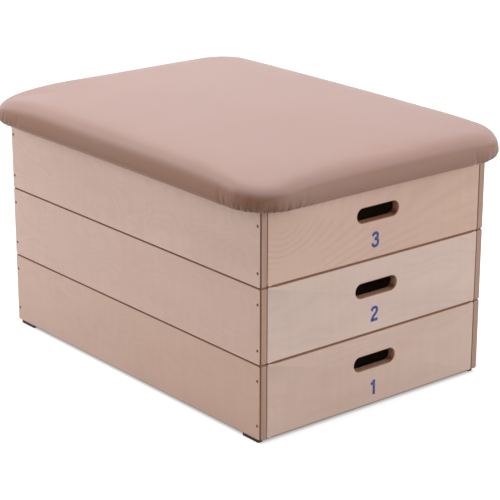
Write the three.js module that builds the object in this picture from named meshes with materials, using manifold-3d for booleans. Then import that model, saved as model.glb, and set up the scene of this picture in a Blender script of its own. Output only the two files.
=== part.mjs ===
// Vaulting box: three stacked sections of plywood, the top one under a leatherette pad.
// Units are millimetres. +Z is up, +X runs along the length and -Y is the left long side.
// The origin is on the floor, under the middle of the box.

import * as THREE from 'three';
import { mergeVertices } from 'three/addons/utils/BufferGeometryUtils.js';
import Module from 'manifold-3d';

const wasm = await Module();
wasm.setup();

// Whole box
const boxLength = 870;
const boxWidth = 600;
const sectionHeight = 157;
const sectionCount = 3;

// Plywood panels
const panelThickness = 18;
const panelEdgeRound = 3;
const panelCornerRadius = 5;

// Hand slots, with their height measured from the lower edge of a section
const slotLength = 109;
const slotHeight = 29;
const slotCentreHeight = 95;

// Numbers on the end panels
const numberHeight = 32;
const numberWidth = 20;
const numberStroke = 5.5;
const numberThickness = 0.4;
const numberCentreHeight = 39;
const numberShift = 4;

// Nails through the side panels into the end panels
const nailHeadRadius = 2.4;
const nailShankRadius = 1.3;
const nailHeadTaper = 2.2;
const nailPoint = 3;
const nailLength = 46;
const nailSink = 0.5;
const lowNailHeight = 30;
const highNailDrop = 33;

// Corner blocks of the lower sections, and the tongues that reach up into the section above
const blockWidth = 35;
const tongueHeight = 25;
const tongueTaper = 5;
const tongueSidePlay = 2;
const tongueTopPlay = 5;

// Rubber feet
const footLength = 50;
const footWidth = 12;
const footThickness = 7;
const footCornerRadius = 3;
const footEdgeRound = 0.8;
const footEndInset = 9;

// Top board and its screws
const boardThickness = 15;
const boardOverhang = 24;
const screwHeadRadius = 4;
const screwShankRadius = 2;
const screwHeadTaper = 2.6;
const screwPoint = 5;
const screwLength = 45;

// Pad: a foam core in a leatherette cover
const padRise = 74;
const padCrown = 3;
const padOverhang = 45;
const padCornerRadius = 90;
const padLowerRound = 16;
const padEdgeReach = 95;
const padSideDraw = 2.5;
const coverThickness = 1.5;
const coverGap = 0.3;
const hemGap = 4;
const hemCornerRadius = 10;

// Fits and cuts
const fixingClearance = 0.3;
const cutOverrun = 2;

// Shares of the sizes that they follow
const sideScrewShares = [-0.28, 0.28];
const cornerTightenShare = 0.8;
const crownRingShares = [0.75, 0.42];
const numberSlantShare = 0.62;
const numberFlagReachShare = 0.33;
const numberFlagDropShare = 0.26;
const numberOverlapShare = 0.8;

// Shares of half a turn in the round strokes of the numbers
const slantStartShare = 0.2;
const twoArcShare = 0.94;
const threeArcShare = 0.86;

// Steps on round stretches
const edgeRoundSteps = 2;
const fixingSides = 8;
const slotEndSteps = 7;
const panelCornerSteps = 2;
const numberArcSteps = 9;
const padCornerSteps = 5;
const padLongSideSteps = 5;
const padShortSideSteps = 4;
const padLowerSteps = 2;
const padUpperSteps = 5;

// Sizes that follow from the ones above
const sectionTop = footThickness + sectionCount * sectionHeight;
const endPanelLength = boxWidth - 2 * panelThickness;
const panelMiddle = panelThickness / 2;
const blockDrop = tongueHeight + tongueTopPlay;
const boardHalfLength = boxLength / 2 + boardOverhang;
const boardHalfWidth = boxWidth / 2 + boardOverhang;
const boardCornerRadius = padCornerRadius - (padOverhang - boardOverhang);
const padHalfLength = boxLength / 2 + padOverhang;
const padHalfWidth = boxWidth / 2 + padOverhang;
const hemLowerFace = sectionTop - coverGap - coverThickness;
const padShoulder = sectionTop + padRise - padCrown;

// Finishes
const plywood = finish(0xc4a998, 0.55, 0);
const blockWood = finish(0xcdb08c, 0.7, 0);
const boardWood = finish(0xb99d83, 0.75, 0);
const paint = finish(0x3b52a6, 0.5, 0);
const steel = finish(0x5a4c44, 0.45, 0.8);
const brightSteel = finish(0xa7a8aa, 0.35, 0.9);
const rubber = finish(0x17140f, 0.85, 0);
const foam = finish(0xe4dcb4, 0.95, 0);
const leatherette = finish(0xc9ada2, 0.6, 0);

function finish(color, roughness, metalness) {
  return new THREE.MeshStandardMaterial({ color, roughness, metalness });
}

function piece(name, geometry, material) {
  const mesh = new THREE.Mesh(geometry, material);
  mesh.name = name;
  return mesh;
}

// Turns a closed geometry into a solid that can be joined and cut
function solid(geometry) {
  const bare = geometry.clone();
  bare.deleteAttribute('normal');
  bare.deleteAttribute('uv');
  const merged = mergeVertices(bare);
  return new wasm.Manifold(new wasm.Mesh({
    numProp: 3,
    vertProperties: new Float32Array(merged.attributes.position.array),
    triVerts: new Uint32Array(merged.index.array),
  }));
}

function geometryOf(body) {
  const mesh = body.getMesh();
  const geometry = new THREE.BufferGeometry();
  geometry.setAttribute('position', new THREE.BufferAttribute(mesh.vertProperties, 3));
  geometry.setIndex(new THREE.BufferAttribute(mesh.triVerts, 1));
  return geometry;
}

function cut(geometry, cutters) {
  return geometryOf(cutters.reduce((body, cutter) => body.subtract(solid(cutter)), solid(geometry)));
}

function join(geometries) {
  return geometryOf(geometries.map(solid).reduce((body, other) => body.add(other)));
}

// Keeps what a geometry shares with another one
function trim(geometry, space) {
  return geometryOf(solid(geometry).intersect(solid(space)));
}

// Puts a geometry's own x, y and z along three given directions
function lay(geometry, x, y, z) {
  const basis = new THREE.Matrix4().makeBasis(
    new THREE.Vector3(...x), new THREE.Vector3(...y), new THREE.Vector3(...z));
  return geometry.clone().applyMatrix4(basis);
}

function roundedRectangle(length, height, radius) {
  const shape = new THREE.Shape();
  const x = length / 2 - radius;
  const y = height / 2 - radius;
  shape.absarc(x, y, radius, 0, Math.PI / 2, false);
  shape.absarc(-x, y, radius, Math.PI / 2, Math.PI, false);
  shape.absarc(-x, -y, radius, Math.PI, 1.5 * Math.PI, false);
  shape.absarc(x, -y, radius, 1.5 * Math.PI, 2 * Math.PI, false);
  shape.closePath();
  return shape;
}

function outline(points) {
  return new THREE.Shape(points.map(([x, y]) => new THREE.Vector2(x, y)));
}

function rectangle(x, y, length, height) {
  return outline([[x, y], [x + length, y], [x + length, y + height], [x, y + height]]);
}

// A flat plate of the given outline, centred on its thickness, with all its edges rounded
function roundedPlate(shape, thickness, round, cornerSteps) {
  const geometry = new THREE.ExtrudeGeometry(shape, {
    depth: thickness - 2 * round,
    bevelThickness: round,
    bevelSize: round,
    bevelOffset: -round,
    bevelSegments: edgeRoundSteps,
    curveSegments: cornerSteps,
  });
  return geometry.translate(0, 0, round - thickness / 2);
}

// Upright panels: the plate's height runs along +Z and its outer face looks along the given direction
function sidePanel(fixings) {
  const face = roundedRectangle(boxLength, sectionHeight, panelCornerRadius);
  const plate = roundedPlate(face, panelThickness, panelEdgeRound, panelCornerSteps);
  const upright = lay(plate, [1, 0, 0], [0, 0, 1], [0, -1, 0]);
  upright.translate(0, panelMiddle - boxWidth / 2, sectionHeight / 2);
  return cut(upright, fixings);
}

function handSlot() {
  const path = new THREE.Path();
  const radius = slotHeight / 2;
  const reach = slotLength / 2 - radius;
  const height = slotCentreHeight - sectionHeight / 2;
  path.absarc(reach, height, radius, -Math.PI / 2, Math.PI / 2, false);
  path.absarc(-reach, height, radius, Math.PI / 2, 1.5 * Math.PI, false);
  path.closePath();
  return path;
}

function endPanel(fixings) {
  const uncutLength = endPanelLength + 2 * (panelEdgeRound + cutOverrun);
  const face = rectangle(-uncutLength / 2, -sectionHeight / 2, uncutLength, sectionHeight);
  face.holes.push(handSlot());
  const plate = roundedPlate(face, panelThickness, panelEdgeRound, slotEndSteps);
  const upright = lay(plate, [0, 1, 0], [0, 0, 1], [1, 0, 0]);
  const depth = panelThickness + cutOverrun;
  const space = new THREE.BoxGeometry(depth, endPanelLength, sectionHeight + cutOverrun);
  const trimmed = trim(upright, space);
  trimmed.translate(boxLength / 2 - panelMiddle, 0, sectionHeight / 2);
  return cut(trimmed, fixings);
}

// The sizes of one kind of nail or screw
const nailSizes = {
  headRadius: nailHeadRadius,
  shankRadius: nailShankRadius,
  headTaper: nailHeadTaper,
  point: nailPoint,
  length: nailLength,
  sink: nailSink,
};
const screwSizes = {
  headRadius: screwHeadRadius,
  shankRadius: screwShankRadius,
  headTaper: screwHeadTaper,
  point: screwPoint,
  length: screwLength,
  sink: 0,
};

function turned(points) {
  const profile = points.map(([radius, height]) => new THREE.Vector2(radius, height));
  return new THREE.LatheGeometry(profile, fixingSides).rotateX(Math.PI / 2);
}

// A nail or screw along +Z with its head's face at zero
function fixing({ headRadius, shankRadius, headTaper, point, length }) {
  return turned([
    [0, 0],
    [headRadius, 0],
    [shankRadius, headTaper],
    [shankRadius, length - point],
    [0, length],
  ]);
}

// Its hole, which is wider all round and opens past the surface that the head is sunk into
function fixingHole({ headRadius, shankRadius, headTaper, point, length, sink }) {
  const mouth = -sink - cutOverrun;
  return turned([
    [0, mouth],
    [headRadius + fixingClearance, mouth],
    [headRadius + fixingClearance, 0],
    [shankRadius + fixingClearance, headTaper],
    [shankRadius + fixingClearance, length - point],
    [0, length + fixingClearance],
  ]);
}

// Nails at both ends of the left side panel, pointing to the right
function panelNails(make) {
  const heights = [lowNailHeight, sectionHeight - highNailDrop];
  const lengthwise = boxLength / 2 - panelMiddle;
  const nail = lay(make(nailSizes), [1, 0, 0], [0, 0, -1], [0, 1, 0]);
  return [-lengthwise, lengthwise].flatMap((x) => heights.map((z) => (
    nail.clone().translate(x, nailSink - boxWidth / 2, z)
  )));
}

// Screws down through the top board into the panels of the top section, about the section's lower edge
function boardScrews(make) {
  const height = sectionHeight + boardThickness;
  const sideways = boxWidth / 2 - panelMiddle;
  const lengthwise = boxLength / 2 - panelMiddle;
  const places = [...sideScrewShares.map((share) => [share * boxLength, -sideways]), [lengthwise, 0]];
  const screw = lay(make(screwSizes), [1, 0, 0], [0, -1, 0], [0, 0, -1]);
  return bothWays(places.map(([x, y]) => screw.clone().translate(x, y, height)));
}

// Half a turn about +Z makes the right side of the left one, and the rear of the front one
function halfTurn(geometry) {
  return lay(geometry, [-1, 0, 0], [0, -1, 0], [0, 0, 1]);
}

function bothWays(geometries) {
  return [...geometries, ...geometries.map(halfTurn)];
}

// A corner block stands clear of the tongue below it and ends in a tongue of its own
function cornerBlock() {
  const height = sectionHeight - blockDrop;
  const post = new THREE.BoxGeometry(blockWidth, blockWidth, height);
  post.translate(0, 0, blockDrop + height / 2);
  const rootHalf = blockWidth / 2 - tongueSidePlay;
  const tipHalf = rootHalf - tongueTaper;
  const length = tongueHeight + cutOverrun;
  const tongue = new THREE.CylinderGeometry(tipHalf * Math.SQRT2, rootHalf * Math.SQRT2, length, 4)
    .rotateY(Math.PI / 4)
    .rotateX(Math.PI / 2)
    .translate(0, 0, sectionHeight - cutOverrun + length / 2);
  return join([post, tongue]);
}

function ringSector(radius, stroke, from, to) {
  const shape = new THREE.Shape();
  shape.absarc(0, 0, radius, from, to, false);
  shape.absarc(0, 0, radius - stroke, to, from, true);
  shape.closePath();
  return shape;
}

// Each figure is one flat plate made of strokes about its own centre
const figures = {
  1: () => {
    const half = numberHeight / 2;
    const tip = -numberHeight * numberFlagReachShare;
    const low = half - numberHeight * numberFlagDropShare;
    const flag = outline([
      [tip, low],
      [tip, low - numberStroke],
      [numberStroke / 2, low],
      [numberStroke / 2, half],
      [0, half],
    ]);
    const middle = -numberHeight * numberFlagReachShare / 2;
    return [
      [rectangle(0, -half, numberStroke, numberHeight), middle, 0],
      [flag, middle + numberStroke / 2, 0],
    ];
  },
  2: () => {
    const half = numberHeight / 2;
    const radius = numberWidth / 2;
    const top = half - radius;
    const foot = -half + numberStroke;
    const turn = slantStartShare * Math.PI;
    const start = numberOverlapShare * turn;
    const outer = [radius * Math.cos(start), top - radius * Math.sin(start)];
    const bore = radius - numberStroke;
    const inner = [bore * Math.cos(start), top - bore * Math.sin(start)];
    const slant = outline([
      inner,
      [-radius, foot],
      [-radius, -half],
      [-radius + numberStroke, -half],
      [-radius + numberStroke / numberSlantShare, foot],
      outer,
    ]);
    return [
      [ringSector(radius, numberStroke, -turn, twoArcShare * Math.PI), 0, top],
      [slant, 0, 0],
      [rectangle(-radius, -half, numberWidth, numberStroke), 0, 0],
    ];
  },
  3: () => {
    const radius = (numberHeight + numberStroke) / 4;
    const centre = numberHeight / 2 - radius;
    return [
      [ringSector(radius, numberStroke, -Math.PI / 2, threeArcShare * Math.PI), 0, centre],
      [ringSector(radius, numberStroke, -threeArcShare * Math.PI, Math.PI / 2), 0, -centre],
    ];
  },
};

function numberPlate(figure) {
  const strokes = figures[figure]().map(([shape, x, y]) => (
    new THREE.ExtrudeGeometry(shape, {
      depth: numberThickness,
      bevelEnabled: false,
      curveSegments: numberArcSteps,
    }).translate(x, y, 0)
  ));
  const plate = lay(join(strokes), [0, 1, 0], [0, 0, 1], [1, 0, 0]);
  return plate.translate(boxLength / 2, -numberShift, numberCentreHeight);
}

function foot() {
  const shape = roundedRectangle(footLength, footWidth, footCornerRadius);
  const rubber = roundedPlate(shape, footThickness, footEdgeRound, panelCornerSteps);
  return rubber.translate(0, 0, footThickness / 2);
}

// A closed ring of points around the pad at one inset from its widest outline
function padRing(inset, height, draw, radius = padCornerRadius - cornerTightenShare * inset) {
  const x = padHalfLength - inset - radius;
  const y = padHalfWidth - inset - radius;
  const centres = [[x, y], [-x, y], [-x, -y], [x, -y]];
  const ring = [];
  for (let corner = 0; corner < centres.length; corner += 1) {
    const [cx, cy] = centres[corner];
    for (let step = 0; step <= padCornerSteps; step += 1) {
      const angle = (corner + step / padCornerSteps) * Math.PI / 2;
      ring.push(new THREE.Vector3(cx + radius * Math.cos(angle), cy + radius * Math.sin(angle), height));
    }
    const start = ring[ring.length - 1];
    const turn = (corner + 1) * Math.PI / 2;
    const outward = new THREE.Vector3(Math.cos(turn), Math.sin(turn), 0);
    const [nx, ny] = centres[(corner + 1) % centres.length];
    const end = new THREE.Vector3(nx, ny, height).addScaledVector(outward, radius);
    const steps = corner % 2 === 0 ? padLongSideSteps : padShortSideSteps;
    for (let step = 1; step < steps; step += 1) {
      const share = step / steps;
      const pull = draw * 4 * share * (1 - share);
      ring.push(new THREE.Vector3().lerpVectors(start, end, share).addScaledVector(outward, -pull));
    }
  }
  return ring;
}

// The pad's side in section, as insets and heights from its underside up to its shoulder,
// moved inwards by an offset along the surface's normal
function padProfile(offset) {
  const middle = hemLowerFace + padLowerRound;
  const rise = padShoulder - middle;
  const stations = [];
  for (let step = 0; step < padLowerSteps; step += 1) {
    const angle = (step / padLowerSteps) * Math.PI / 2;
    const out = Math.sin(angle);
    const down = Math.cos(angle);
    stations.push({
      inset: padLowerRound * (1 - out) + offset * out,
      height: middle - (padLowerRound - offset) * down,
      draw: padSideDraw,
    });
  }
  for (let step = 0; step <= padUpperSteps; step += 1) {
    const angle = (step / padUpperSteps) * Math.PI / 2;
    const normal = new THREE.Vector2(Math.cos(angle) / padEdgeReach, Math.sin(angle) / rise).normalize();
    stations.push({
      inset: padEdgeReach * (1 - Math.cos(angle)) + offset * normal.x,
      height: middle + rise * Math.sin(angle) - offset * normal.y,
      draw: padSideDraw * Math.cos(angle),
    });
  }
  return stations;
}

// Rings from the pad's lower round up and in over its crown
function padRings(offset) {
  const rings = padProfile(offset).map(({ inset, height, draw }) => padRing(inset, height, draw));
  const shoulder = rings[rings.length - 1];
  for (const share of crownRingShares) {
    const lift = padCrown * (1 - share * share);
    rings.push(shoulder.map((point) => new THREE.Vector3(point.x * share, point.y * share, point.z + lift)));
  }
  return rings;
}

// Skins neighbouring rings, each seen anticlockwise from above, with faces to the right of the way they run
function skin(rings) {
  const count = rings[0].length;
  const indices = [];
  for (let ring = 0; ring < rings.length - 1; ring += 1) {
    for (let point = 0; point < count; point += 1) {
      const next = (point + 1) % count;
      const a = ring * count + point;
      const b = ring * count + next;
      const c = (ring + 1) * count + next;
      const d = (ring + 1) * count + point;
      indices.push(a, b, c, a, c, d);
    }
  }
  return indices;
}

function fan(centre, first, count, upwards) {
  const indices = [];
  for (let point = 0; point < count; point += 1) {
    const here = first + point;
    const next = first + (point + 1) % count;
    indices.push(...(upwards ? [here, next, centre] : [next, here, centre]));
  }
  return indices;
}

function pointGeometry(points, indices) {
  const geometry = new THREE.BufferGeometry();
  const places = points.flatMap((point) => [point.x, point.y, point.z]);
  geometry.setAttribute('position', new THREE.Float32BufferAttribute(places, 3));
  geometry.setIndex(indices);
  return geometry;
}

function crownPoint(offset) {
  return new THREE.Vector3(0, 0, padShoulder + padCrown - offset);
}

function plate(halfLength, halfWidth, radius, low, high) {
  const shape = roundedRectangle(2 * halfLength, 2 * halfWidth, radius);
  return new THREE.ExtrudeGeometry(shape, {
    depth: high - low,
    bevelEnabled: false,
    curveSegments: padCornerSteps,
  }).translate(0, 0, low);
}

// The foam is a full cushion with a recess below for the top board
function foamCore() {
  const offset = coverThickness + coverGap;
  const rings = padRings(offset);
  const count = rings[0].length;
  const points = rings.flat();
  const top = points.push(crownPoint(offset)) - 1;
  const bottom = points.push(new THREE.Vector3(0, 0, rings[0][0].z)) - 1;
  const indices = [
    ...skin(rings),
    ...fan(top, (rings.length - 1) * count, count, true),
    ...fan(bottom, 0, count, false),
  ];
  const recess = plate(
    boardHalfLength + coverGap, boardHalfWidth + coverGap, boardCornerRadius + coverGap,
    sectionTop - cutOverrun, sectionTop + boardThickness + coverGap);
  return cut(pointGeometry(points, indices), [recess]);
}

// The cover goes over the foam, round its lower edge and in under the top board as a hem
function coverShell() {
  const hem = (height) => padRing(padOverhang - hemGap, height, 0, hemCornerRadius);
  const outer = [hem(hemLowerFace), ...padRings(0)];
  const inner = [hem(hemLowerFace + coverThickness), ...padRings(coverThickness)];
  const count = outer[0].length;
  const outside = outer.flat();
  const points = [...outside, ...inner.flat()];
  const outerTop = points.push(crownPoint(0)) - 1;
  const innerTop = points.push(crownPoint(coverThickness)) - 1;
  const lastRing = (inner.length - 1) * count;
  const upwards = [...skin(inner), ...fan(innerTop - outside.length, lastRing, count, true)];
  const lining = [];
  for (let index = 0; index < upwards.length; index += 3) {
    const [a, b, c] = upwards.slice(index, index + 3).map((point) => point + outside.length);
    lining.push(a, c, b);
  }
  const hemEdge = [];
  for (let point = 0; point < count; point += 1) {
    const next = (point + 1) % count;
    hemEdge.push(next, point, outside.length + point, next, outside.length + point, outside.length + next);
  }
  const shell = [...skin(outer), ...fan(outerTop, (outer.length - 1) * count, count, true)];
  const indices = [...shell, ...lining, ...hemEdge];
  return pointGeometry(points, indices);
}

function topBoard(holes) {
  const upperFace = sectionTop + boardThickness;
  const board = plate(boardHalfLength, boardHalfWidth, boardCornerRadius, sectionTop, upperFace);
  return cut(board, holes);
}

const ends = [['front', 1], ['rear', -1]];
const sides = [['left', -1], ['right', 1]];
const nailPlaces = [
  'left_rear_low', 'left_rear_high', 'left_front_low', 'left_front_high',
  'right_front_low', 'right_front_high', 'right_rear_low', 'right_rear_high',
];
const screwPlaces = ['left_rear', 'left_front', 'front', 'right_front', 'right_rear', 'rear'];

// One section: its panels, nails and number, and the corner blocks of a lower one, about its own lower edge
function section(level) {
  const isTop = level === sectionCount;
  const name = `section_${level}`;
  const part = new THREE.Group();
  part.position.z = footThickness + (level - 1) * sectionHeight;

  const nailHoles = panelNails(fixingHole);
  const screwHoles = isTop ? boardScrews(fixingHole) : [];
  const side = sidePanel([...nailHoles, ...screwHoles]);
  const end = endPanel([...bothWays(nailHoles), ...screwHoles]);
  part.add(piece(`${name}_side_left`, side, plywood));
  part.add(piece(`${name}_side_right`, halfTurn(side), plywood));
  part.add(piece(`${name}_end_front`, end, plywood));
  part.add(piece(`${name}_end_rear`, halfTurn(end), plywood));

  bothWays(panelNails(fixing)).forEach((nail, place) => {
    part.add(piece(`${name}_nail_${nailPlaces[place]}`, nail, steel));
  });
  part.add(piece(`${name}_number`, numberPlate(level), paint));

  for (const [endName, x] of isTop ? [] : ends) {
    for (const [sideName, y] of sides) {
      const block = piece(`${name}_block_${endName}_${sideName}`, cornerBlock(), blockWood);
      block.position.x = x * (boxLength / 2 - panelThickness - blockWidth / 2);
      block.position.y = y * (endPanelLength / 2 - blockWidth / 2);
      part.add(block);
    }
  }
  return part;
}

// The feet stand under the side panels of the bottom section
function feet() {
  const part = new THREE.Group();
  for (const [endName, x] of ends) {
    for (const [sideName, y] of sides) {
      const mesh = piece(`foot_${endName}_${sideName}`, foot(), rubber);
      mesh.position.x = x * (boxLength / 2 - footEndInset - footLength / 2);
      mesh.position.y = y * (boxWidth / 2 - panelMiddle);
      part.add(mesh);
    }
  }
  return part;
}

// The top board with its screws, the foam and the cover
function pad() {
  const part = new THREE.Group();
  const lift = sectionTop - sectionHeight;
  const screwHoles = boardScrews(fixingHole).map((hole) => hole.translate(0, 0, lift));
  part.add(piece('top_board', topBoard(screwHoles), boardWood));
  boardScrews(fixing).forEach((screw, place) => {
    part.add(piece(`board_screw_${screwPlaces[place]}`, screw.translate(0, 0, lift), brightSteel));
  });
  part.add(piece('pad_foam', foamCore(), foam));
  part.add(piece('pad_cover', coverShell(), leatherette));
  return part;
}

const vaultingBox = new THREE.Group();
for (let level = 1; level <= sectionCount; level += 1) {
  vaultingBox.add(section(level));
}
vaultingBox.add(feet());
vaultingBox.add(pad());

export default vaultingBox;
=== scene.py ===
"""Looks of a low vaulting box: plywood sections with hand slots and numbers, and a padded top.

Units are metres. +Z is up, +X runs along the length and -Y is the left long side.
"""

import logging
import math
import random
from dataclasses import dataclass, field
from enum import Enum
from typing import Callable, Iterable, NamedTuple, Optional, Sequence, Union

import bmesh
import bpy
from mathutils import Matrix, Vector


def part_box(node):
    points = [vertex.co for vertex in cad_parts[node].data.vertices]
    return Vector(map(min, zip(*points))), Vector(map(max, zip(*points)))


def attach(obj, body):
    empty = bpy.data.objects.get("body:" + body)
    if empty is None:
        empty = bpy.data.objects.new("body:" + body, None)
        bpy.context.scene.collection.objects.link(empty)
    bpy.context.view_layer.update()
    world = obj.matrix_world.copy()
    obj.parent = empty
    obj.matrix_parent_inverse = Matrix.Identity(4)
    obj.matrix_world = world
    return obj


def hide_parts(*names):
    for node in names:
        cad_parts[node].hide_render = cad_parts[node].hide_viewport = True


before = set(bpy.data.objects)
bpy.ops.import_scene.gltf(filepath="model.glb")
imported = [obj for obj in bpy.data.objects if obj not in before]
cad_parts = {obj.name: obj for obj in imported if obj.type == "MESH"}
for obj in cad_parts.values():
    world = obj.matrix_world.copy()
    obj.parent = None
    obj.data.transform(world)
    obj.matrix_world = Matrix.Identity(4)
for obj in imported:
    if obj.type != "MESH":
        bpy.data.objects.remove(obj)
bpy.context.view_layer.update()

LOG = logging.getLogger("vaulting_box")
MILLIMETRE = 0.001
NEARNESS = 0.01 * MILLIMETRE
PARALLEL = 0.999
X_AXIS, Y_AXIS, Z_AXIS = Vector((1, 0, 0)), Vector((0, 1, 0)), Vector((0, 0, 1))

Tint = tuple[int, int, int]
Colour = tuple[float, float, float, float]
Triple = tuple[float, float, float]


def screen_colour(tint: Tint) -> Colour:
    """Turns a colour as a screen shows it into the linear one that shaders use.

    Args:
        tint: Red, green and blue, from 0 to 255.

    Returns:
        The linear red, green and blue, with an alpha of one.
    """
    shares = [level / 255 for level in tint]
    linear = [share / 12.92 if share <= 0.04045 else ((share + 0.055) / 1.055) ** 2.4 for share in shares]
    return (*linear, 1.0)


def shaded(colour: Colour, *shares: float) -> Colour:
    """Makes a colour darker or lighter, up to full brightness.

    Args:
        colour: The colour.
        shares: What its red, green and blue are multiplied by, or one share for all three.

    Returns:
        The new colour.
    """
    factors = shares if len(shares) == 3 else shares * 3
    return (*(min(part * share, 1.0) for part, share in zip(colour, factors)), 1.0)


class Signal:
    """An output of a shader node, with the operators that reckon with it."""

    def __init__(self, tree: "Tree", socket: bpy.types.NodeSocket) -> None:
        """Keeps the output and its tree."""
        self.tree = tree
        self.socket = socket

    def __add__(self, other: "Plug") -> "Signal":
        """This plus another."""
        return self.tree.maths("ADD", self, other)

    def __sub__(self, other: "Plug") -> "Signal":
        """This less another."""
        return self.tree.maths("SUBTRACT", self, other)

    def __rsub__(self, other: float) -> "Signal":
        """A number less this."""
        return self.tree.maths("SUBTRACT", other, self)

    def __mul__(self, other: "Plug") -> "Signal":
        """This times another."""
        return self.tree.maths("MULTIPLY", self, other)

    def __truediv__(self, other: "Plug") -> "Signal":
        """This divided by another."""
        return self.tree.maths("DIVIDE", self, other)

    def __pow__(self, other: float) -> "Signal":
        """This to a power."""
        return self.tree.maths("POWER", self, other)


Plug = Union[Signal, float, Sequence[float]]
Signals = dict[str, Signal]


class Tree:
    """Places and links the nodes of one shader tree."""

    def __init__(self, tree: bpy.types.NodeTree) -> None:
        """Starts on a tree."""
        self.tree = tree

    def plug(self, socket: bpy.types.NodeSocket, value: Plug) -> None:
        """Links an output to a socket, or sets the socket's own value.

        Args:
            socket: The input socket.
            value: An output, a number, a vector or a colour.
        """
        if isinstance(value, Signal):
            self.tree.links.new(value.socket, socket)
        else:
            socket.default_value = value

    def node(self, kind: str, *inputs: Plug, **settings: object) -> bpy.types.Node:
        """Adds a node.

        Args:
            kind: The node's type without the ShaderNode in front.
            inputs: What goes into its sockets, in order.
            settings: Properties to set on it.

        Returns:
            The new node.
        """
        made = self.tree.nodes.new("ShaderNode" + kind)
        for name, value in settings.items():
            setattr(made, name, value)
        for socket, value in zip(made.inputs, inputs):
            self.plug(socket, value)
        return made

    def read(self, kind: str, output: Union[int, str], *inputs: Plug, **settings: object) -> Signal:
        """Adds a node and reads one of its outputs.

        Args:
            kind: The node's type without the ShaderNode in front.
            output: The output's number or name.
            inputs: What goes into its sockets, in order.
            settings: Properties to set on it.

        Returns:
            The output.
        """
        return Signal(self, self.node(kind, *inputs, **settings).outputs[output])

    def coordinate(self, output: str = "Object") -> Signal:
        """One of the texture coordinates."""
        return self.read("TexCoord", output)

    def maths(self, operation: str, *values: Plug, clamp: bool = False) -> Signal:
        """A Math node's result, which clamp keeps from zero to one."""
        return self.read("Math", 0, *values, operation=operation, use_clamp=clamp)

    def vector(self, operation: str, *values: Plug) -> Signal:
        """A Vector Math node's result, which is a number for a length and a dot product."""
        output = "Value" if operation in ("LENGTH", "DOT_PRODUCT") else "Vector"
        return self.read("VectorMath", output, *values, operation=operation)

    def split(self, vector: Plug) -> list[Signal]:
        """The three parts of a vector."""
        return [Signal(self, part) for part in self.node("SeparateXYZ", vector).outputs]

    def join(self, *parts: Plug) -> Signal:
        """The vector of up to three parts."""
        return self.read("CombineXYZ", 0, *parts)

    def mix(self, share: Plug, first: Plug, second: Plug, blend: str = "MIX") -> Signal:
        """Adds a colour Mix node.

        Args:
            share: How much of the second colour there is.
            first: The first colour.
            second: The second colour.
            blend: How they are blended.

        Returns:
            The mixed colour.
        """
        made = self.node("Mix", data_type="RGBA", blend_type=blend)
        for place, value in ((0, share), (6, first), (7, second)):
            self.plug(made.inputs[place], value)
        return Signal(self, made.outputs[2])

    def fit(self, value: Plug, low: Plug, high: Plug, to_low: float = 0.0, to_high: float = 1.0,
            smooth: bool = False) -> Signal:
        """Fits a value from one range to another and keeps it inside.

        Args:
            value: The value.
            low: Where its range starts.
            high: Where its range ends.
            to_low: What the start becomes.
            to_high: What the end becomes.
            smooth: Whether the change eases in and out.

        Returns:
            The fitted value.
        """
        easing = "SMOOTHSTEP" if smooth else "LINEAR"
        return self.read("MapRange", 0, value, low, high, to_low, to_high, interpolation_type=easing)

    def noise(self, vector: Plug, scale: Plug, detail: float = 2.0, roughness: float = 0.5,
              output: Union[int, str] = 0) -> Signal:
        """Adds a Noise texture.

        Args:
            vector: Where it is read.
            scale: How fine it is.
            detail: How many finer layers it has.
            roughness: How strong the finer layers are.
            output: The output that is wanted.

        Returns:
            The noise, around one half.
        """
        made = self.node("TexNoise")
        given = {"Vector": vector, "Scale": scale, "Detail": detail, "Roughness": roughness}
        for name, value in given.items():
            self.plug(made.inputs[name], value)
        return Signal(self, made.outputs[output])

    def grain(self, point: Plug, fineness: Triple, detail: float = 2.0, roughness: float = 0.5) -> Signal:
        """Noise that is drawn out differently in three directions.

        Args:
            point: Where it is read.
            fineness: How fine it is in each direction.
            detail: How many finer layers it has.
            roughness: How strong the finer layers are.

        Returns:
            The noise, around one half.
        """
        return self.noise(self.vector("MULTIPLY", point, fineness), 1.0, detail, roughness)

    def bump(self, height: Plug, distance: float, strength: float = 0.5,
             normal: Optional[Signal] = None) -> Signal:
        """Adds a Bump node.

        Args:
            height: The height, from zero to one.
            distance: How high one is, in metres.
            strength: How strongly it shows.
            normal: A normal to start from.

        Returns:
            The bumped normal.
        """
        made = self.node("Bump")
        given = {"Strength": strength, "Distance": distance, "Height": height, "Normal": normal}
        for name, value in given.items():
            if value is not None:
                self.plug(made.inputs[name], value)
        return Signal(self, made.outputs[0])


class SocketKind(Enum):
    """The kinds of socket that the shared groups have."""

    NUMBER = "NodeSocketFloat"
    VECTOR = "NodeSocketVector"

    @classmethod
    def of(cls, value: Plug) -> str:
        """The type of the socket that takes a value."""
        if isinstance(value, Signal):
            numeric = value.socket.type == "VALUE"
        else:
            numeric = isinstance(value, (int, float))
        return (cls.NUMBER if numeric else cls.VECTOR).value


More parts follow.
